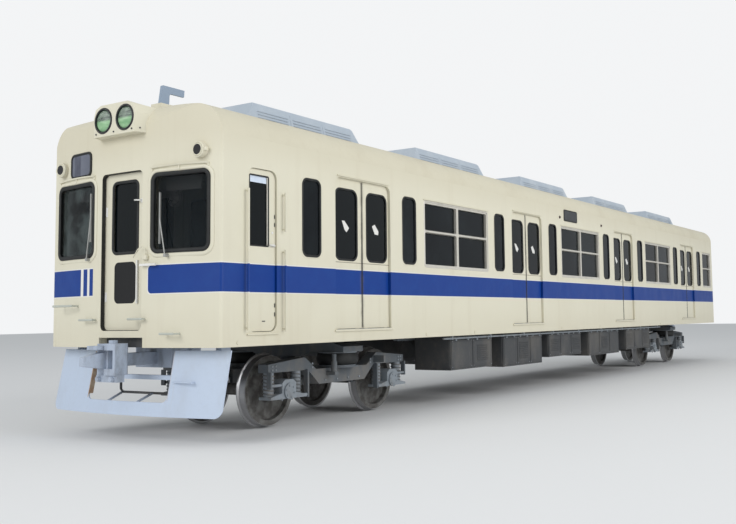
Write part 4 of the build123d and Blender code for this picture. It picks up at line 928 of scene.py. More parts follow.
# %% Sliding windows
UNITS = [((DOORS[n] + DOORS[n + 1]) / 2, 0.949) for n in range(3)] + [(-9.172, 0.412)]
with Shape("sash_beads", "sash_metal") as form:
    for side in SIDES:
        y = side * 1.386
        for middle, half in UNITS:
            form.ring(on_side(side, middle, B + 1.474), half, 0.472, 0.045,
                      [(-0.012, -0.010), (-0.008, 0.003), (0.004, 0.006), (0.012, 0.003), (0.014, -0.002)])
            parts = (-1, 1) if half > 0.5 else (0,)
            wide = half / len(parts) - 0.05
            for spot in [middle + part * half / 2 for part in parts]:
                for z, high in ((1.488, 0.012), (1.524, 0.008)):
                    form.block((spot - wide, y - 0.006, B + z), (spot + wide, y + 0.006, B + z + high), 0.002)
                for x in (spot - wide + 0.08, spot + wide - 0.08):
                    form.block((x - 0.022, y - 0.010, B + 1.496), (x + 0.022, y + 0.010, B + 1.516), 0.004)

with Shape("window_drips", "cream_paint") as form:
    for side in SIDES:
        for middle, half in UNITS:
            form.prism((middle - half - 0.02, middle + half + 0.02),
                       [(side * (HALF - 0.004), B + 1.962), (side * (HALF + 0.014), B + 1.958),
                        (side * (HALF + 0.016), B + 1.966), (side * (HALF - 0.004), B + 1.974)])
print("sliding windows", len(UNITS) * 2)

# %% [markdown]
# ## Passenger doors
# Every leaf carries its own rubber round the pane, a rubber nose on the closing edge and a plain white patch
# left by an old notice. They stand only three millimetres proud, because a leaf slides into a narrow pocket. A
# table of corners gives the patch its torn outline.

# %% Leaves
PATCHES = {"fore": ((148, 395), (202, 395), (297, 482), (243, 538), (202, 506)),
           "aft": ((138, 422), (199, 393), (285, 481), (276, 528), (199, 523))}
leaf_middle, leaf_height, *leaf_pane_size = LEAF_WINDOW
for side_name, side in SIDE_NAMES:
    for number, door in enumerate(DOORS, 1):
        for way_name, way in (("fore", 1), ("aft", -1)):
            body = f"door_{side_name}_{number}_{way_name}"
            middle = door + way * leaf_middle
            with Shape(body + "_rubber", "rubber", body, smooth=True) as form:
                form.ring(on_side(side, middle, leaf_height, 1.362), *leaf_pane_size,
                          [(-0.010, -0.006), (-0.008, 0.001), (0.004, 0.0026), (0.015, 0.0022), (0.018, -0.002)])
                form.block((door + way * 0.004, side * 1.3585 - 0.0055, B + 0.165),
                           (door + way * 0.017, side * 1.3585 + 0.0055, B + 2.032), 0.002)
            with Shape(body + "_patch", "white_trim", body, "door_paint") as form:
                corners = [(middle + 0.2225 - u / 1000, B + 1.907 - v / 1000) for u, v in PATCHES[way_name]]
                form.loops([[Vector((x, side * y, z)) for x, z in corners] for y in (1.3482, 1.3492)])
print("leaves", len(DOORS) * 4)

# %% Sills and door heads
with Shape("door_sills", "cream_paint") as form:
    for side in SIDES:
        for middle, half, z, high in [(door, 0.620, 0.124, 0.026) for door in DOORS] + [(8.970, 0.250, 0.118, 0.020)]:
            form.block((middle - half, side * 1.396, B + z), (middle + half, side * 1.420, B + z + high), 0.005)
        for door in DOORS:
            form.prism((door - 0.56, door + 0.56),
                       [(side * (HALF - 0.003), B + 2.062), (side * (HALF + 0.016), B + 2.058),
                        (side * (HALF + 0.018), B + 2.066), (side * (HALF - 0.003), B + 2.076)])

with Shape("door_treads", "steel_tube", slot="sash_metal") as form:
    for side in SIDES:
        for door in DOORS:
            form.block((door - 0.575, side * 1.372, B + 0.1495), (door + 0.575, side * 1.414, B + 0.1535), 0.001)
print("sills and heads")

# %% [markdown]
# ## Crew door
# Its pane is square-cornered, with a light strip at the rear edge and a blue-white blind drawn a little way
# down behind the glass. The lever, the keyhole and the hinge plates are small turned or bevelled forms.

# %% Crew doors
crew_middle, crew_height, *crew_pane_size = CREW_WINDOW
for side_name, side in SIDE_NAMES:
    body = "crew_door_" + side_name
    outer = 1.375
    face = side * outer
    with Shape(body + "_gasket", "rubber", body) as form:
        form.ring(on_side(side, crew_middle, crew_height, outer), *crew_pane_size,
                  [(-0.006, -0.006), (-0.004, 0.001), (0.002, 0.003), (0.010, 0.002), (0.012, -0.002)], 3)
    with Shape(body + "_strip", "sash_metal", body) as form:
        form.block((8.851, side * 1.3595, B + 1.108), (8.868, side * 1.3705, B + 1.880), 0.002)
        form.block((8.738, side * 1.374 - 0.002, B + 1.095), (8.849, side * 1.374 + 0.004, B + 1.112), 0.002)
    with Shape(body + "_blind", "blind_cloth", body, "door_paint") as form:
        form.block((8.869, side * 1.3578, B + 1.808), (9.149, side * 1.3590, B + 1.882))
    with Shape(body + "_lever", "white_trim", body, smooth=True) as form:
        form.drum((8.767, face - side * 0.002, B + 1.115), (8.767, face + side * 0.024, B + 1.115),
                  [(0, 0.020), (0.3, 0.020), (0.35, 0.011), (1, 0.010)], 16)
        form.tube([(8.767, face + side * 0.020, B + 1.115), (8.800, face + side * 0.023, B + 1.116),
                   (8.862, face + side * 0.022, B + 1.120)], 0.008)
        form.drum((8.786, face - side * 0.002, B + 1.260), (8.786, face + side * 0.006, B + 1.260),
                  [(0, 0.015), (0.7, 0.014), (1, 0.010)], 14)
    with Shape(body + "_hinge_plates", "black_metal", body, "door_paint") as form:
        for z in (0.320, 0.420, 1.330, 1.420):
            form.block((8.745, face - side * 0.002, B + z), (8.757, face + side * 0.004, B + z + 0.045), 0.001)
        form.block((8.905, face - 0.003, B + 0.262), (8.955, face + 0.003, B + 0.274), 0.001)
print("crew doors dressed")

# %% Side signs, lamps and vents
with Shape("side_sign_frames", "rubber", smooth=True) as form:
    for side in SIDES:
        form.ring(on_side(side, 0.380, B + 2.1715), 0.300, 0.0965, 0.018,
                  [(-0.010, 0.004), (-0.008, 0.012), (0.006, 0.014), (0.012, 0.010), (0.014, -0.002)], 4)
with Shape("side_lamps", "lamp_dark", slot="lamp_metal", smooth=True) as form:
    for side in SIDES:
        for x in (0.882, -1.211):
            form.drum((x, side * 1.398, B + 2.116), (x, side * 1.424, B + 2.116),
                      [(0, 0.028), (0.3, 0.028), (0.4, 0.021), (0.8, 0.018), (1, 0.008)])
caps = [((x, side * 1.402, B + 0.045), (0, side, 0)) for side in SIDES
        for x in (-9.55, -6.0, -4.9, -1.0, 0.9, 4.2, 5.6, 9.35)]
bolts.on("side_jacking_caps", caps, "cream_paint", Radius=0.022, Depth=0.010, Sides=12)
print("side signs and lamps")

# %% [markdown]
# ## Bogies: springs, caps and bellows
# Each axle box stands between two coil springs. The spring is one helix, put on sixteen points by nodes. The
# air springs get a rubber bellows, turned as a drum with two lobes, and the bolster's beam that lies across them
# under the car's centre plate and side bearers. Bolts follow circles and rows, so their places come from loops.

# %% Springs and bellows
BOLSTER = [(-1.080, 0.890), (-0.520, 0.890), (-0.380, 0.830), (0.380, 0.830), (0.520, 0.890), (1.080, 0.890),
           (1.080, 0.960), (0.900, 1.010), (-0.900, 1.010), (-1.080, 0.960)]
BELLOWS = [(0, 0.226), (0.06, 0.246), (0.2, 0.268), (0.36, 0.277), (0.5, 0.279), (0.64, 0.277), (0.8, 0.268),
           (0.94, 0.256), (1, 0.250)]
AIR_SPRING_Y = 0.820
for end, middle in (("front", 6.9), ("rear", -6.9)):
    body = "bogie_" + end
    spots = []
    heads = []
    for axle in (middle + 1.1, middle - 1.1):
        for side in SIDES:
            spots += [((axle + shift, side * 0.826, 0.400), (0, 0, 1)) for shift in (0.245, -0.245)]
            heads += [((axle + 0.070 * math.cos(a), side * 0.964, 0.458 + 0.070 * math.sin(a)), (0, side, 0))
                      for a in (math.pi / 3 * i + 0.3 for i in range(6))]
            heads += [((axle + shift, side * 0.903, z), (0, side, 0)) for shift in (0.090, -0.090)
                      for z in (0.360, 0.560)]
    coils.on(end + "_wing_springs", spots, "spring_paint", body, "bogie_paint", True, Radius=0.0645, Wire=0.0088,
             Height=0.280, Turns=6.5)
    for side in SIDES:
        heads += [((middle + x, side * 0.903, z), (0, side, 0)) for x in (-1.36, -1.30, -0.62, 0.62, 1.30, 1.36)
                  for z in (0.720, 0.765)]
        heads += [((middle + x, side * 0.903, 0.545), (0, side, 0)) for x in (-0.36, -0.12, 0.12, 0.36)]
    bolts.on(end + "_bogie_bolts", heads, "cast_paint", body, "box_cast", Radius=0.014, Depth=0.012)
    with Shape(end + "_air_bellows", "rubber", body, smooth=True) as form:
        for y in (AIR_SPRING_Y, -AIR_SPRING_Y):
            form.drum((middle, y, 0.7105), (middle, y, 0.8895), BELLOWS, 40)
    with Shape(end + "_bellows_hoops", "cast_paint", body, "box_cast", smooth=True) as form:
        for y in (AIR_SPRING_Y, -AIR_SPRING_Y):
            for z, radius in ((0.716, 0.236), (0.884, 0.256)):
                form.tube(circle((middle, y, z), radius, 40, False), 0.008, 6, closed=True)
    with Shape(end + "_bolster_beam", "bogie_paint", body) as form:
        form.prism((middle - 0.210, middle + 0.210), BOLSTER)
print("springs and bellows")

# %% [markdown]
# ## Underfloor covers
# The equipment cases are plain solids. Each gets bolted covers with a pressed rim, latches and, on every other
# cover, louvres. The same loop serves both sides, since a case only knows its middle, its length and its height.

# %% Equipment covers
# Middle x and y, length, width and height of each case
CASES = [(4.1, 0.96, 1.3, 0.64, 0.52), (2.3, 0.98, 1.5, 0.60, 0.56), (0.5, 0.96, 1.5, 0.64, 0.48),
         (-1.5, 0.96, 1.7, 0.64, 0.54), (-3.6, 0.98, 1.6, 0.60, 0.50), (4.0, -0.96, 1.5, 0.64, 0.50),
         (1.9, -0.96, 1.7, 0.64, 0.56), (-0.4, -0.98, 1.7, 0.60, 0.46), (-2.5, -0.96, 1.6, 0.64, 0.56),
         (-4.4, -0.96, 1.1, 0.64, 0.50)]
CASE_TOP = 1.020
louvres = []
screws = []
with Shape("cover_latches", "cast_paint") as latches, Shape("equipment_covers", "under_paint") as covers:
    for number, (x, y, length, width, height) in enumerate(CASES):
        side = math.copysign(1, y)
        face = y + side * width / 2
        z = CASE_TOP - height / 2
        count = 3 if length > 1.4 else 2
        half_u, half_v = length / count / 2 - 0.022, height / 2 - 0.050
        for part in range(count):
            middle = x + (part - (count - 1) / 2) * length / count
            place = on_side(side, middle, z, abs(face))
            covers.plate(place, half_u, half_v, 0.020, [(0.0, -0.004), (0.0, 0.006), (-0.004, 0.010)], 3)
            covers.ring(place, half_u - 0.030, half_v - 0.030, 0.012, [(-0.008, 0.009), (0.0, 0.014), (0.008, 0.009)],
                        3)
            for end in (-1, 1):
                latch_x = middle + end * half_u * 0.6
                latches.block((latch_x - 0.022, face, CASE_TOP - 0.062),
                              (latch_x + 0.022, face + side * 0.024, CASE_TOP - 0.018), 0.004)
                screws += [((middle + end * (half_u - 0.012), face + side * 0.012, z + v), (0, side, 0))
                           for v in (-half_v + 0.014, half_v - 0.014)]
            if (number + part) % 2 == 0:
                rows = int(half_v * 1.2 // 0.030)
                louvres += [((middle, face + side * 0.014, z + (row - (rows - 1) / 2) * 0.032), (0, side, 0.8))
                            for row in range(rows)]
        for end in (-1, 1):
            end_x = x + end * (length / 2 + 0.004)
            covers.block((end_x - 0.006, y - side * (width / 2 - 0.02), CASE_TOP - height + 0.06),
                         (end_x + 0.006, face - side * 0.02, 0.990), 0.004)
slats.on("cover_louvres", louvres, "under_paint", Length=0.34, Width=0.020, Thickness=0.003)
bolts.on("cover_screws", screws, "cast_paint", Radius=0.008, Depth=0.006)
print("covers", len(CASES), "louvres", len(louvres))

# %% Pipes, tank straps and steps
with Shape("underfloor_pipes", "cast_paint") as form:
    for y, z, radius in ((0.52, 0.985, 0.017), (0.46, 0.985, 0.013), (-0.52, 0.985, 0.017), (-0.44, 0.985, 0.022),
                         (1.335, 1.000, 0.014), (-1.335, 1.000, 0.014)):
        form.tube([(5.05, y, z), (2.0, y, z), (-2.0, y, z), (-5.05, y, z)], radius, 10)
        for x in [n * 1.2 for n in range(-4, 5)]:
            form.block((x - 0.018, y - radius - 0.008, z - radius - 0.004), (x + 0.018, y + radius + 0.008, 1.044),
                       0.003)
with Shape("tank_straps", "cast_paint") as form:
    for x, length in ((3.25, 1.5), (-0.65, 1.6), (-3.25, 1.5)):
        for middle in (x - length * 0.28, x + length * 0.28):
            form.loops([circle((middle + u, 0, 0.790), radius, 32) for u, radius in
                        ((-0.025, 0.188), (0.025, 0.188), (0.025, 0.197), (-0.025, 0.197))], along=True)
        form.drum((x, 0, 0.604), (x, 0, 0.582), [(0, 0.020), (0.4, 0.020), (0.5, 0.012), (1, 0.010)], 14)
with Shape("skirt_stays", "coupler_paint", slot="skirt_paint", smooth=True) as form:
    for ahead, behind in ((-0.290, -0.612), (0.190, -0.090)):
        form.tube([(9.665, ahead, 0.440), (9.200, behind, 0.495)], 0.014)
with Shape("stay_hangers", "under_paint", smooth=True) as form:
    form.tube([(9.200, y, z) for y, z in ((0.640, 1.000), (0.640, 0.530), (0.605, 0.497), (-0.605, 0.497),
                                          (-0.640, 0.530), (-0.640, 1.000))], 0.015)
print("pipes and straps")

# %% [markdown]
# ## Roof
# A cooler is a tapering hood. Its sides get louvred openings near the foot, its top two round fans behind
# wire guards, and seams where its sheets meet. Slats are instanced in rows that lean with the side.

# %% Cooler hoods
COOLERS = [7.320 - n * 3.690 for n in range(5)]
COOLER_TOP = B + 2.965
CROWN_RADIUS = 7.526
CROWN_CENTRE = -3.786


def roof_at(y):
    return CROWN_CENTRE + math.sqrt(CROWN_RADIUS ** 2 - y * y)


foot_z = roof_at(0.73)
with Shape("cooler_fan_wells", "black_metal", slot="cooler_paint") as form:
    for x in [cooler + shift for cooler in COOLERS for shift in (-0.52, 0.52)]:
        form.drum((x, 0, COOLER_TOP - 0.004), (x, 0, COOLER_TOP + 0.006), [(0, 0.330), (0.8, 0.330), (1, 0.322)], 40)
with Shape("cooler_fan_guards", "cooler_paint", smooth=True) as form:
    for x in [cooler + shift for cooler in COOLERS for shift in (-0.52, 0.52)]:
        for radius in (0.08, 0.15, 0.22, 0.29):
            form.tube(circle((x, 0, COOLER_TOP + 0.014), radius, 32, False), 0.004, 5, closed=True)
        hub = Vector((x, 0, COOLER_TOP + 0.010))
        for spoke in circle((0, 0, 0), 0.325, 8, False)[:4]:
            form.tube([hub - spoke, hub + spoke], 0.005, 5)
with Shape("cooler_seams", "cooler_paint") as form:
    for cooler in COOLERS:
        for x in (cooler - 0.925, cooler, cooler + 0.925):
            form.block((x - 0.012, -0.560, COOLER_TOP - 0.003), (x + 0.012, 0.560, COOLER_TOP + 0.004), 0.002)
        for side in SIDES:
            for x in (cooler - 0.33, cooler + 0.33):
                form.tube([(x, side * 0.702, B + 2.680), (x, side * 0.645, B + 2.905)], 0.005, 5)
with Shape("cooler_feet", "cooler_paint") as form:
    for cooler in COOLERS:
        for side in SIDES:
            for end in (-1, 1):
                x = cooler + end * 0.95
                form.block((x - 0.05, side * 0.690, foot_z - 0.010), (x + 0.05, side * 0.760, foot_z + 0.022), 0.005)
                form.tube([(cooler + end * reach, side * 0.52, COOLER_TOP + rise) for reach, rise in
                           ((0.80, -0.006), (0.80, 0.016), (0.86, 0.016), (0.86, -0.006))], 0.006, 6)
side_slats = []
screws = []
for cooler in COOLERS:
    for side in SIDES:
        lean = Vector((0, side * 0.325, 0.080)).normalized() + Vector((0, 0, 0.9))
        side_slats += [((cooler + shift, side * (0.713 - 0.080 * (0.095 + row * 0.040) / 0.325),
                         B + 2.735 + row * 0.040), lean) for shift in (-0.66, 0, 0.66) for row in range(4)]
        screws += [((cooler - 1.05 + n * 0.30, side * 0.706, B + 2.672), (0, side, 0.2)) for n in range(8)]
slats.on("cooler_louvres", side_slats, "cooler_paint", Length=0.56, Width=0.020, Thickness=0.004)
bolts.on("cooler_screws", screws, "black_metal", slot="cooler_paint", Radius=0.008, Depth=0.008)
print("coolers", len(COOLERS), "louvres", len(side_slats))

# %% Roof line
with Shape("roof_conduit", "roof_paint") as form:
    for side in SIDES:
        y = side * 0.985
        z = roof_at(0.985) + 0.010
        form.tube([(-9.40, y, z), (0, y, z), (8.30, y, z)], 0.011)
        for x in range(-9, 9):
            form.block((x - 0.015, y - 0.018, z - 0.016), (x + 0.015, y + 0.018, z + 0.013), 0.003)
    for x in [cooler - 1.845 for cooler in COOLERS[:-1]]:
        form.drum((x, 0, roof_at(0) - 0.006), (x, 0, roof_at(0) + 0.055),
                  [(0, 0.150), (0.15, 0.150), (0.3, 0.120), (0.7, 0.118), (0.8, 0.165), (0.9, 0.160), (1, 0.060)], 28)
print("roof line")

# %% [markdown]
# ## Benches and their cushions
# The cushions under moquette are long pads, sewn across at each seat. A pad is a row of closed sections along
# the bench: its soft side swells in the middle of a seat and dips at the seams, and the ends draw in. Cloth
# simulation would do this too, but twenty pads of three metres take far too long; the driver's seat, which is
# small, is simulated further down.

# %% Moquette
moquette = Shade("moquette", specular=0.2)
tuft = moquette.noise(210.0, detail=2.0)
pile = moquette.mix(tuft.rise(0.35, 0.65), (0.165, 0.030, 0.035), (0.290, 0.062, 0.065))
moquette.set(base_color=moquette.mix(moquette.noise(3.0).rise(0.45, 0.8) * 0.35, pile, (0.36, 0.15, 0.13)),
             roughness=0.82 + tuft * 0.15, sheen_weight=0.3)
moquette.bump(tuft, 0.0012, 0.5)
print("moquette ready")

# %% Long pads
SEAT = 0.435
FLOOR_Z = 1.192
BENCHES = [(8.490, 7.727), (6.417, 2.936), (1.626, -1.855), (-3.165, -6.645), (-7.955, -9.630)]
SEAT_SHARES = (0.0, 0.018, 0.045, 0.10, 0.22, 0.36, 0.5, 0.64, 0.78, 0.90, 0.955, 0.982)


def section(half_a, half_b, power=3.8, points=26):
    """A soft rectangle as a list of (a, b)."""
    turns = [(math.cos(2 * math.pi * i / points), math.sin(2 * math.pi * i / points)) for i in range(points)]
    return [(half_a * math.copysign(abs(c) ** (2 / power), c), half_b * math.copysign(abs(s) ** (2 / power), s))
            for c, s in turns]


def long_pad(name, rear, front, place, half_a, half_b):
    """A pad along the car, sewn across at each seat; place(x, a, b) puts a section point, b > 0 is soft."""
    seats = max(1, round((front - rear) / SEAT))
    pitch = (front - rear) / seats
    rows = []
    for x in [rear + (n + share) * pitch for n in range(seats) for share in SEAT_SHARES] + [front]:
        share = (x - rear) / pitch % 1.0
        crown = math.sin(math.pi * share) ** 0.6 if 0 < share < 1 else 0.0
        edge = min(x - rear, front - x)
        draw = 1 - 0.20 * max(0.0, 1 - edge / 0.045) ** 2
        row = []
        for a, b in section(half_a * draw, half_b):
            soft = 0.905 + 0.085 * crown * (1 - (a / half_a) ** 2)
            row.append(Vector(place(x, a * (0.985 + 0.015 * crown), b * draw * (soft if b > 0 else 1.0))))
        rows.append(row)
    with Shape(name, "moquette", smooth=True) as form:
        form.loops(rows)
    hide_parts("bench_seats")


for side_name, side in SIDE_NAMES:
    for number, (front, rear) in enumerate(BENCHES, 1):
        long_pad(f"bench_cushion_{side_name}_{number}", rear + 0.004, front - 0.004,
                 lambda x, a, b: (x, side * (1.074 + a), 1.5265 + b), 0.211, 0.0945)
        long_pad(f"bench_back_{side_name}_{number}", rear + 0.004, front - 0.004,
                 lambda x, a, b: (x, side * (1.2545 - b), 1.8255 + a), 0.203, 0.0345)
print("bench pads", 4 * len(BENCHES))

# %% Bench bases and heaters
heaters = []
with Shape("bench_edge_rails", "steel_tube", smooth=True) as rails, Shape("bench_bases", "inner_paint") as bases:
    for side in SIDES:
        for front, rear in BENCHES:
            bases.block((rear + 0.03, side * 0.950, FLOOR_Z), (front - 0.03, side * 1.290, 1.432), 0.008)
            bases.block((rear + 0.05, side * 0.938, 1.196), (front - 0.05, side * 0.951, 1.250), 0.003)
            rails.tube([(rear + 0.01, side * 0.866, 1.436), (front - 0.01, side * 0.866, 1.436)], 0.008)
            heated = int((front - rear - 0.1) // 0.60)
            heaters += [(((front + rear) / 2 + (n - (heated - 1) / 2) * 0.60, side * 0.949, 1.275 + 0.022 * row),
                         (0, -side, 0.35)) for n in range(heated) for row in range(6)]
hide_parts("bench_seats")
slats.on("bench_heaters", heaters, "black_metal", slot="inner_paint", Length=0.42, Width=0.016, Thickness=0.003)
print("heaters", len(heaters) // 6)

# %% [markdown]
# ## Driver's seat
# Two small pads on a post. The cover is simulated: a slightly smaller block is remeshed, blown up as cloth
# under gentle pressure with gravity off, and each point's way is capped so that the pad keeps to its frame.

# %% Simulated pads
def blown_pad(name, low, high, cap):
    """A block whose cover swells as cloth, by cap at most, as a padded piece."""
    margin = Vector((cap, cap, cap))
    with Shape(name, "moquette", smooth=True) as form:
        form.block(Vector(low) + margin, Vector(high) - margin, 0.016)
    piece = form.piece
    remesh = piece.modifiers.new("remesh", "REMESH")
    remesh.mode = "VOXEL"
    remesh.voxel_size = 0.009
    fine = bpy.data.meshes.new_from_object(piece.evaluated_get(bpy.context.evaluated_depsgraph_get()))
    piece.modifiers.clear()
    piece.data = fine
    cloth = piece.modifiers.new("cover", "CLOTH")
    cloth.settings.use_pressure = True
    cloth.settings.uniform_pressure_force = 4.0
    cloth.settings.effector_weights.gravity = 0.0
    cloth.settings.quality = 4
    cloth.collision_settings.use_collision = False
    for step in range(1, 21):
        bpy.context.scene.frame_set(step)
    blown = bpy.data.meshes.new_from_object(piece.evaluated_get(bpy.context.evaluated_depsgraph_get()))
    piece.modifiers.clear()
    for vertex, moved in zip(fine.vertices, blown.vertices):
        way = moved.co - vertex.co
        vertex.co += way * min(1.0, cap * 0.95 / max(way.length, 1e-6))
    bpy.data.meshes.remove(blown)
    bpy.context.scene.frame_set(1)
    fine.materials.clear()
    fine.materials.append(FINISH["moquette"])
    fine.polygons.foreach_set("use_smooth", [True] * len(fine.polygons))
    smooth = piece.modifiers.new("smooth", "SUBSURF")
    smooth.levels = 1
    smooth.render_levels = 1
    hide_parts("driver_seat")
    return len(fine.vertices)


print("driver's pads", blown_pad("driver_cushion", (8.820, 0.450, 1.572), (9.200, 0.830, 1.662), 0.012),
      blown_pad("driver_backrest", (8.750, 0.450, 1.640), (8.820, 0.830, 2.142), 0.010))

# %% Seat stand
with Shape("driver_seat_stand", "black_metal", slot="wiper_black") as form:
    form.drum((9.010, 0.640, FLOOR_Z), (9.010, 0.640, 1.214), [(0, 0.150), (0.7, 0.150), (1, 0.140)], 32)
    form.drum((9.010, 0.640, 1.212), (9.010, 0.640, 1.560),
              [(0, 0.060), (0.08, 0.048), (0.55, 0.045), (0.56, 0.036), (0.93, 0.036), (1, 0.055)], 24)
    form.block((8.840, 0.480, 1.556), (9.180, 0.800, 1.573), 0.005)
    for y in (0.53, 0.75):
        form.tube([(8.96, y, 1.560), (8.80, y, 1.558), (8.757, y, 1.600), (8.754, y, 2.05)], 0.011)
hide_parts("driver_seat")
print("driver's seat")

# %% [markdown]
# ## Straps, lights and the cab's inside
# Hand straps hang in two rows from rails under the ceiling. One strap, a band with a ring, is enough: a points
# pattern repeats it. In the cab there are gauges on the sloping panel, two handles, a small fan and a sun visor,
# which show as pale forms through the driver's window.

# %% Hand straps
STRAP_Y = 0.62
RAIL_Z = 2.955
band = Pattern("strap_pattern", Drop=0.20, Ring=0.050, Wire=0.006)
size = band.node("ShaderNodeCombineXYZ", {"X": 0.022, "Y": 0.004, "Z": "Drop"})
half_drop = band.node("ShaderNodeMath", {0: "Drop", 1: -0.5}, operation="MULTIPLY")
web = band.node("GeometryNodeTransform", {"Geometry": band.node("GeometryNodeMeshCube", {"Size": size}),
                                          "Translation": band.node("ShaderNodeCombineXYZ", {"Z": half_drop})})
hoop = band.node("GeometryNodeCurvePrimitiveCircle", {"Resolution": 18, "Radius": "Ring"})
wire = band.node("GeometryNodeCurvePrimitiveCircle", {"Resolution": 6, "Radius": "Wire"})
hoop = band.node("GeometryNodeCurveToMesh", {"Curve": hoop, "Profile Curve": wire})
ring_drop = band.node("ShaderNodeMath", {0: "Drop", 1: "Ring"}, operation="ADD")
ring_drop = band.node("ShaderNodeMath", {0: ring_drop, 1: -1.0}, operation="MULTIPLY")
hoop = band.node("GeometryNodeTransform", {"Geometry": hoop, "Rotation": (math.pi / 2, 0.0, 0.0),
                                           "Translation": band.node("ShaderNodeCombineXYZ", {"Z": ring_drop})})
both = band.tree.nodes.new("GeometryNodeJoinGeometry")
for form in (web, hoop):
    band.tree.links.new(form, both.inputs[0])
band.spread(both.outputs[0])
spots = [((x / 100, side * STRAP_Y, 2.952), (0, 0, 1)) for side in SIDES for x in range(-930, 820, 42)]
band.on("hand_straps", spots, "strap_grey", slot="rail_steel")
with Shape("strap_rails", "steel_tube", smooth=True) as form:
    for side in SIDES:
        y = side * STRAP_Y
        form.tube([(-9.48, y, RAIL_Z), (8.44, y, RAIL_Z)], 0.014, 10)
        for x in range(-9, 9, 2):
            form.tube([(x, y, RAIL_Z), (x, y, 3.40), (x, side * 0.66, 3.60)], 0.010)
print("straps", len(spots))

# %% Ceiling lights and vents
with Shape("ceiling_lights", "white_trim", slot="inner_paint") as form:
    for side in SIDES:
        for x in [-8.95 + n * 1.45 for n in range(12)]:
            form.block((x, side * 0.50 - 0.065, 3.582), (x + 1.25, side * 0.50 + 0.065, 3.628), 0.012)
vents = [((-8.3 + n * 1.845, side * 0.10 + 0.045 * row, 3.634), (0, 0, -1)) for n in range(9) for side in SIDES
         for row in range(-2, 3)]
slats.on("ceiling_vents", vents, "strap_grey", slot="inner_paint", Length=0.60, Width=0.022, Thickness=0.006)
print("ceiling")

# %% Desk and cab fittings
GAUGES = [Vector((9.325, y, 1.960)) for y in (0.56, 0.72, 0.88, 1.04)]
PANEL_WAY = Vector((-0.729, 0, 0.684))
for name, finish, low, high, radii in (
        ("desk_gauges", "black_metal", -0.004, 0.014, [(0, 0.058), (0.7, 0.058), (1, 0.050)]),
        ("gauge_faces", "white_trim", 0.0135, 0.0160, [(0, 0.047), (1, 0.046)])):
    with Shape(name, finish, slot="desk_paint", smooth=finish == "black_metal") as form:
        for middle in GAUGES:
            form.drum(middle + PANEL_WAY * low, middle + PANEL_WAY * high, radii, 28)
with Shape("desk_handles", "steel_tube", slot="desk_paint", smooth=True) as form:
    for y, reach in ((0.47, 0.13), (1.15, 0.11)):
        x = 9.440
        form.drum((x, y, 2.038), (x, y, 2.085), [(0, 0.055), (0.5, 0.050), (1, 0.022)], 24)
        form.tube([(x, y, 2.080), (x, y, 2.100), (x - 0.040, y, 2.108), (x - reach, y, 2.104)], 0.009)
        form.drum((x - reach, y, 2.098), (x - reach, y, 2.150), [(0, 0.010), (0.2, 0.016), (0.9, 0.015), (1, 0.008)],
                  14)

with Shape("cab_fan", "white_trim", slot="inner_paint", smooth=True) as form:
    hub = Vector((9.44, 0.505, B + 1.672))
    for radius, ahead in ((0.105, 0.0), (0.085, 0.014), (0.060, 0.020), (0.035, 0.024), (0.105, -0.030)):
        form.tube(circle(hub + Vector((ahead, 0, 0)), radius, 28), 0.0028, 5, closed=True)
    for wires in zip(*(circle(hub + Vector((ahead, 0, 0)), radius, 12)
                       for ahead, radius in ((0.024, 0.02), (0.0, 0.105), (-0.030, 0.105)))):
        form.tube(wires, 0.0022, 4)
    form.drum(hub + Vector((-0.075, 0, 0)), hub + Vector((0.010, 0, 0)),
              [(0, 0.028), (0.3, 0.042), (0.8, 0.040), (1, 0.018)])
    for blade in range(4):
        rows = []
        for share in (0.2, 1.0):
            wide = 0.25 + 0.35 * share
            rows.append([])
            for way, lift in ((-1, 0), (1, 0), (1, 0.0015), (-1, 0.0015)):
                a = math.pi / 2 * blade + way * wide
                rows[-1].append(hub + Vector((0.006 * way + lift, share * 0.088 * math.cos(a),
                                              share * 0.088 * math.sin(a))))
        form.loops(rows)
    form.tube([hub + Vector(step) for step in ((-0.06, 0, 0.02), (-0.07, 0.03, 0.11), (-0.05, 0.08, 0.20))], 0.010)

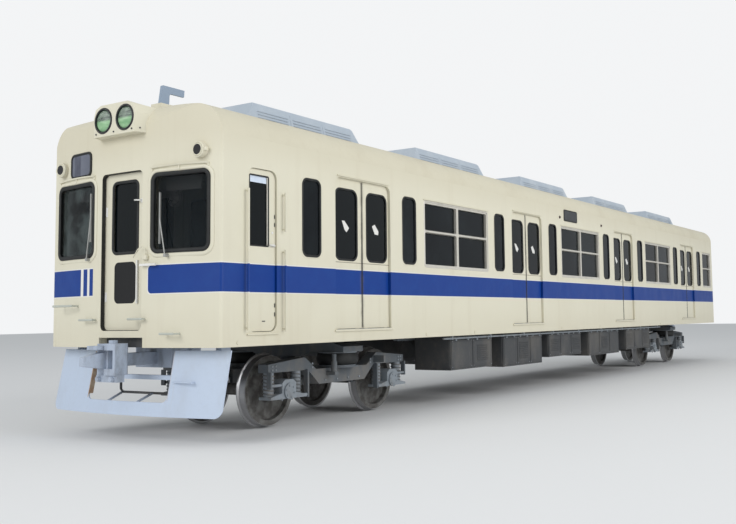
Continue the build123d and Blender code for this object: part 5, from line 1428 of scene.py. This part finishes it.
with Shape("sun_visors", "strap_grey", slot="inner_paint") as form:
    for first, last in ((0.50, 1.00), (-1.05, -0.55)):
        form.bowed(first, last, 6, [(-0.165, B + 1.72), (-0.169, B + 1.72), (-0.187, B + 1.885), (-0.183, B + 1.885)])
print("cab fittings")

# %% [markdown]
# ## Rear end
# The photograph hides the rear, so it is finished as this kind of car is: rungs and rails for the shunter,
# sockets for the cables between cars, and rubber round the two windows.

# %% Rear end
with Shape("rear_window_rubbers", "rubber", smooth=True) as form:
    for side in SIDES:
        form.ring(on_plane(-9.75, side * 0.875, B + 1.465, -1), 0.255, 0.435, 0.085,
                  [(-0.024, -0.004), (-0.020, 0.008), (0.006, 0.010), (0.018, 0.006), (0.021, -0.003)])
with Shape("rear_rungs", "cream_paint", smooth=True) as form:
    for z in (0.25, 0.62, 0.99, 1.36, 1.73, 2.10):
        form.tube([(x, y, B + z) for x, y in ((-9.745, 1.215), (-9.810, 1.215), (-9.810, 1.345), (-9.745, 1.345))],
                  0.010)
    for side in SIDES:
        form.tube([(x, side * 1.190, B + z) for x, z in ((-9.745, 0.30), (-9.800, 0.32), (-9.800, 1.28),
                                                         (-9.745, 1.30))], 0.011)
with Shape("jumper_sockets", "black_metal", slot="coupler_steel") as form:
    for side in SIDES:
        for y in (side * 0.78, side * 1.02):
            form.block((-9.800, y - 0.070, B + 0.30), (-9.747, y + 0.070, B + 0.50), 0.010)
            form.drum((-9.795, y, B + 0.34), (-9.850, y, B + 0.30),
                      [(0, 0.045), (0.2, 0.045), (0.25, 0.038), (1, 0.036)])
with Shape("rear_door_latch", "steel_tube", "rear_gangway_door", smooth=True) as form:
    z = B + 1.10
    form.drum((-9.722, 0.300, z), (-9.745, 0.300, z), [(0, 0.022), (0.7, 0.020), (1, 0.014)], 16)
    form.tube([(-9.742, 0.300, z), (-9.752, 0.285, z), (-9.752, 0.190, z)], 0.009)
with Shape("partition_door_knob", "steel_tube", "cab_partition_door", smooth=True) as form:
    form.drum((8.518, -0.235, B + 1.05), (8.490, -0.235, B + 1.05),
              [(0, 0.020), (0.5, 0.010), (0.7, 0.022), (1, 0.014)])
print("rear end")

# %% Size of the object
low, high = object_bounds()
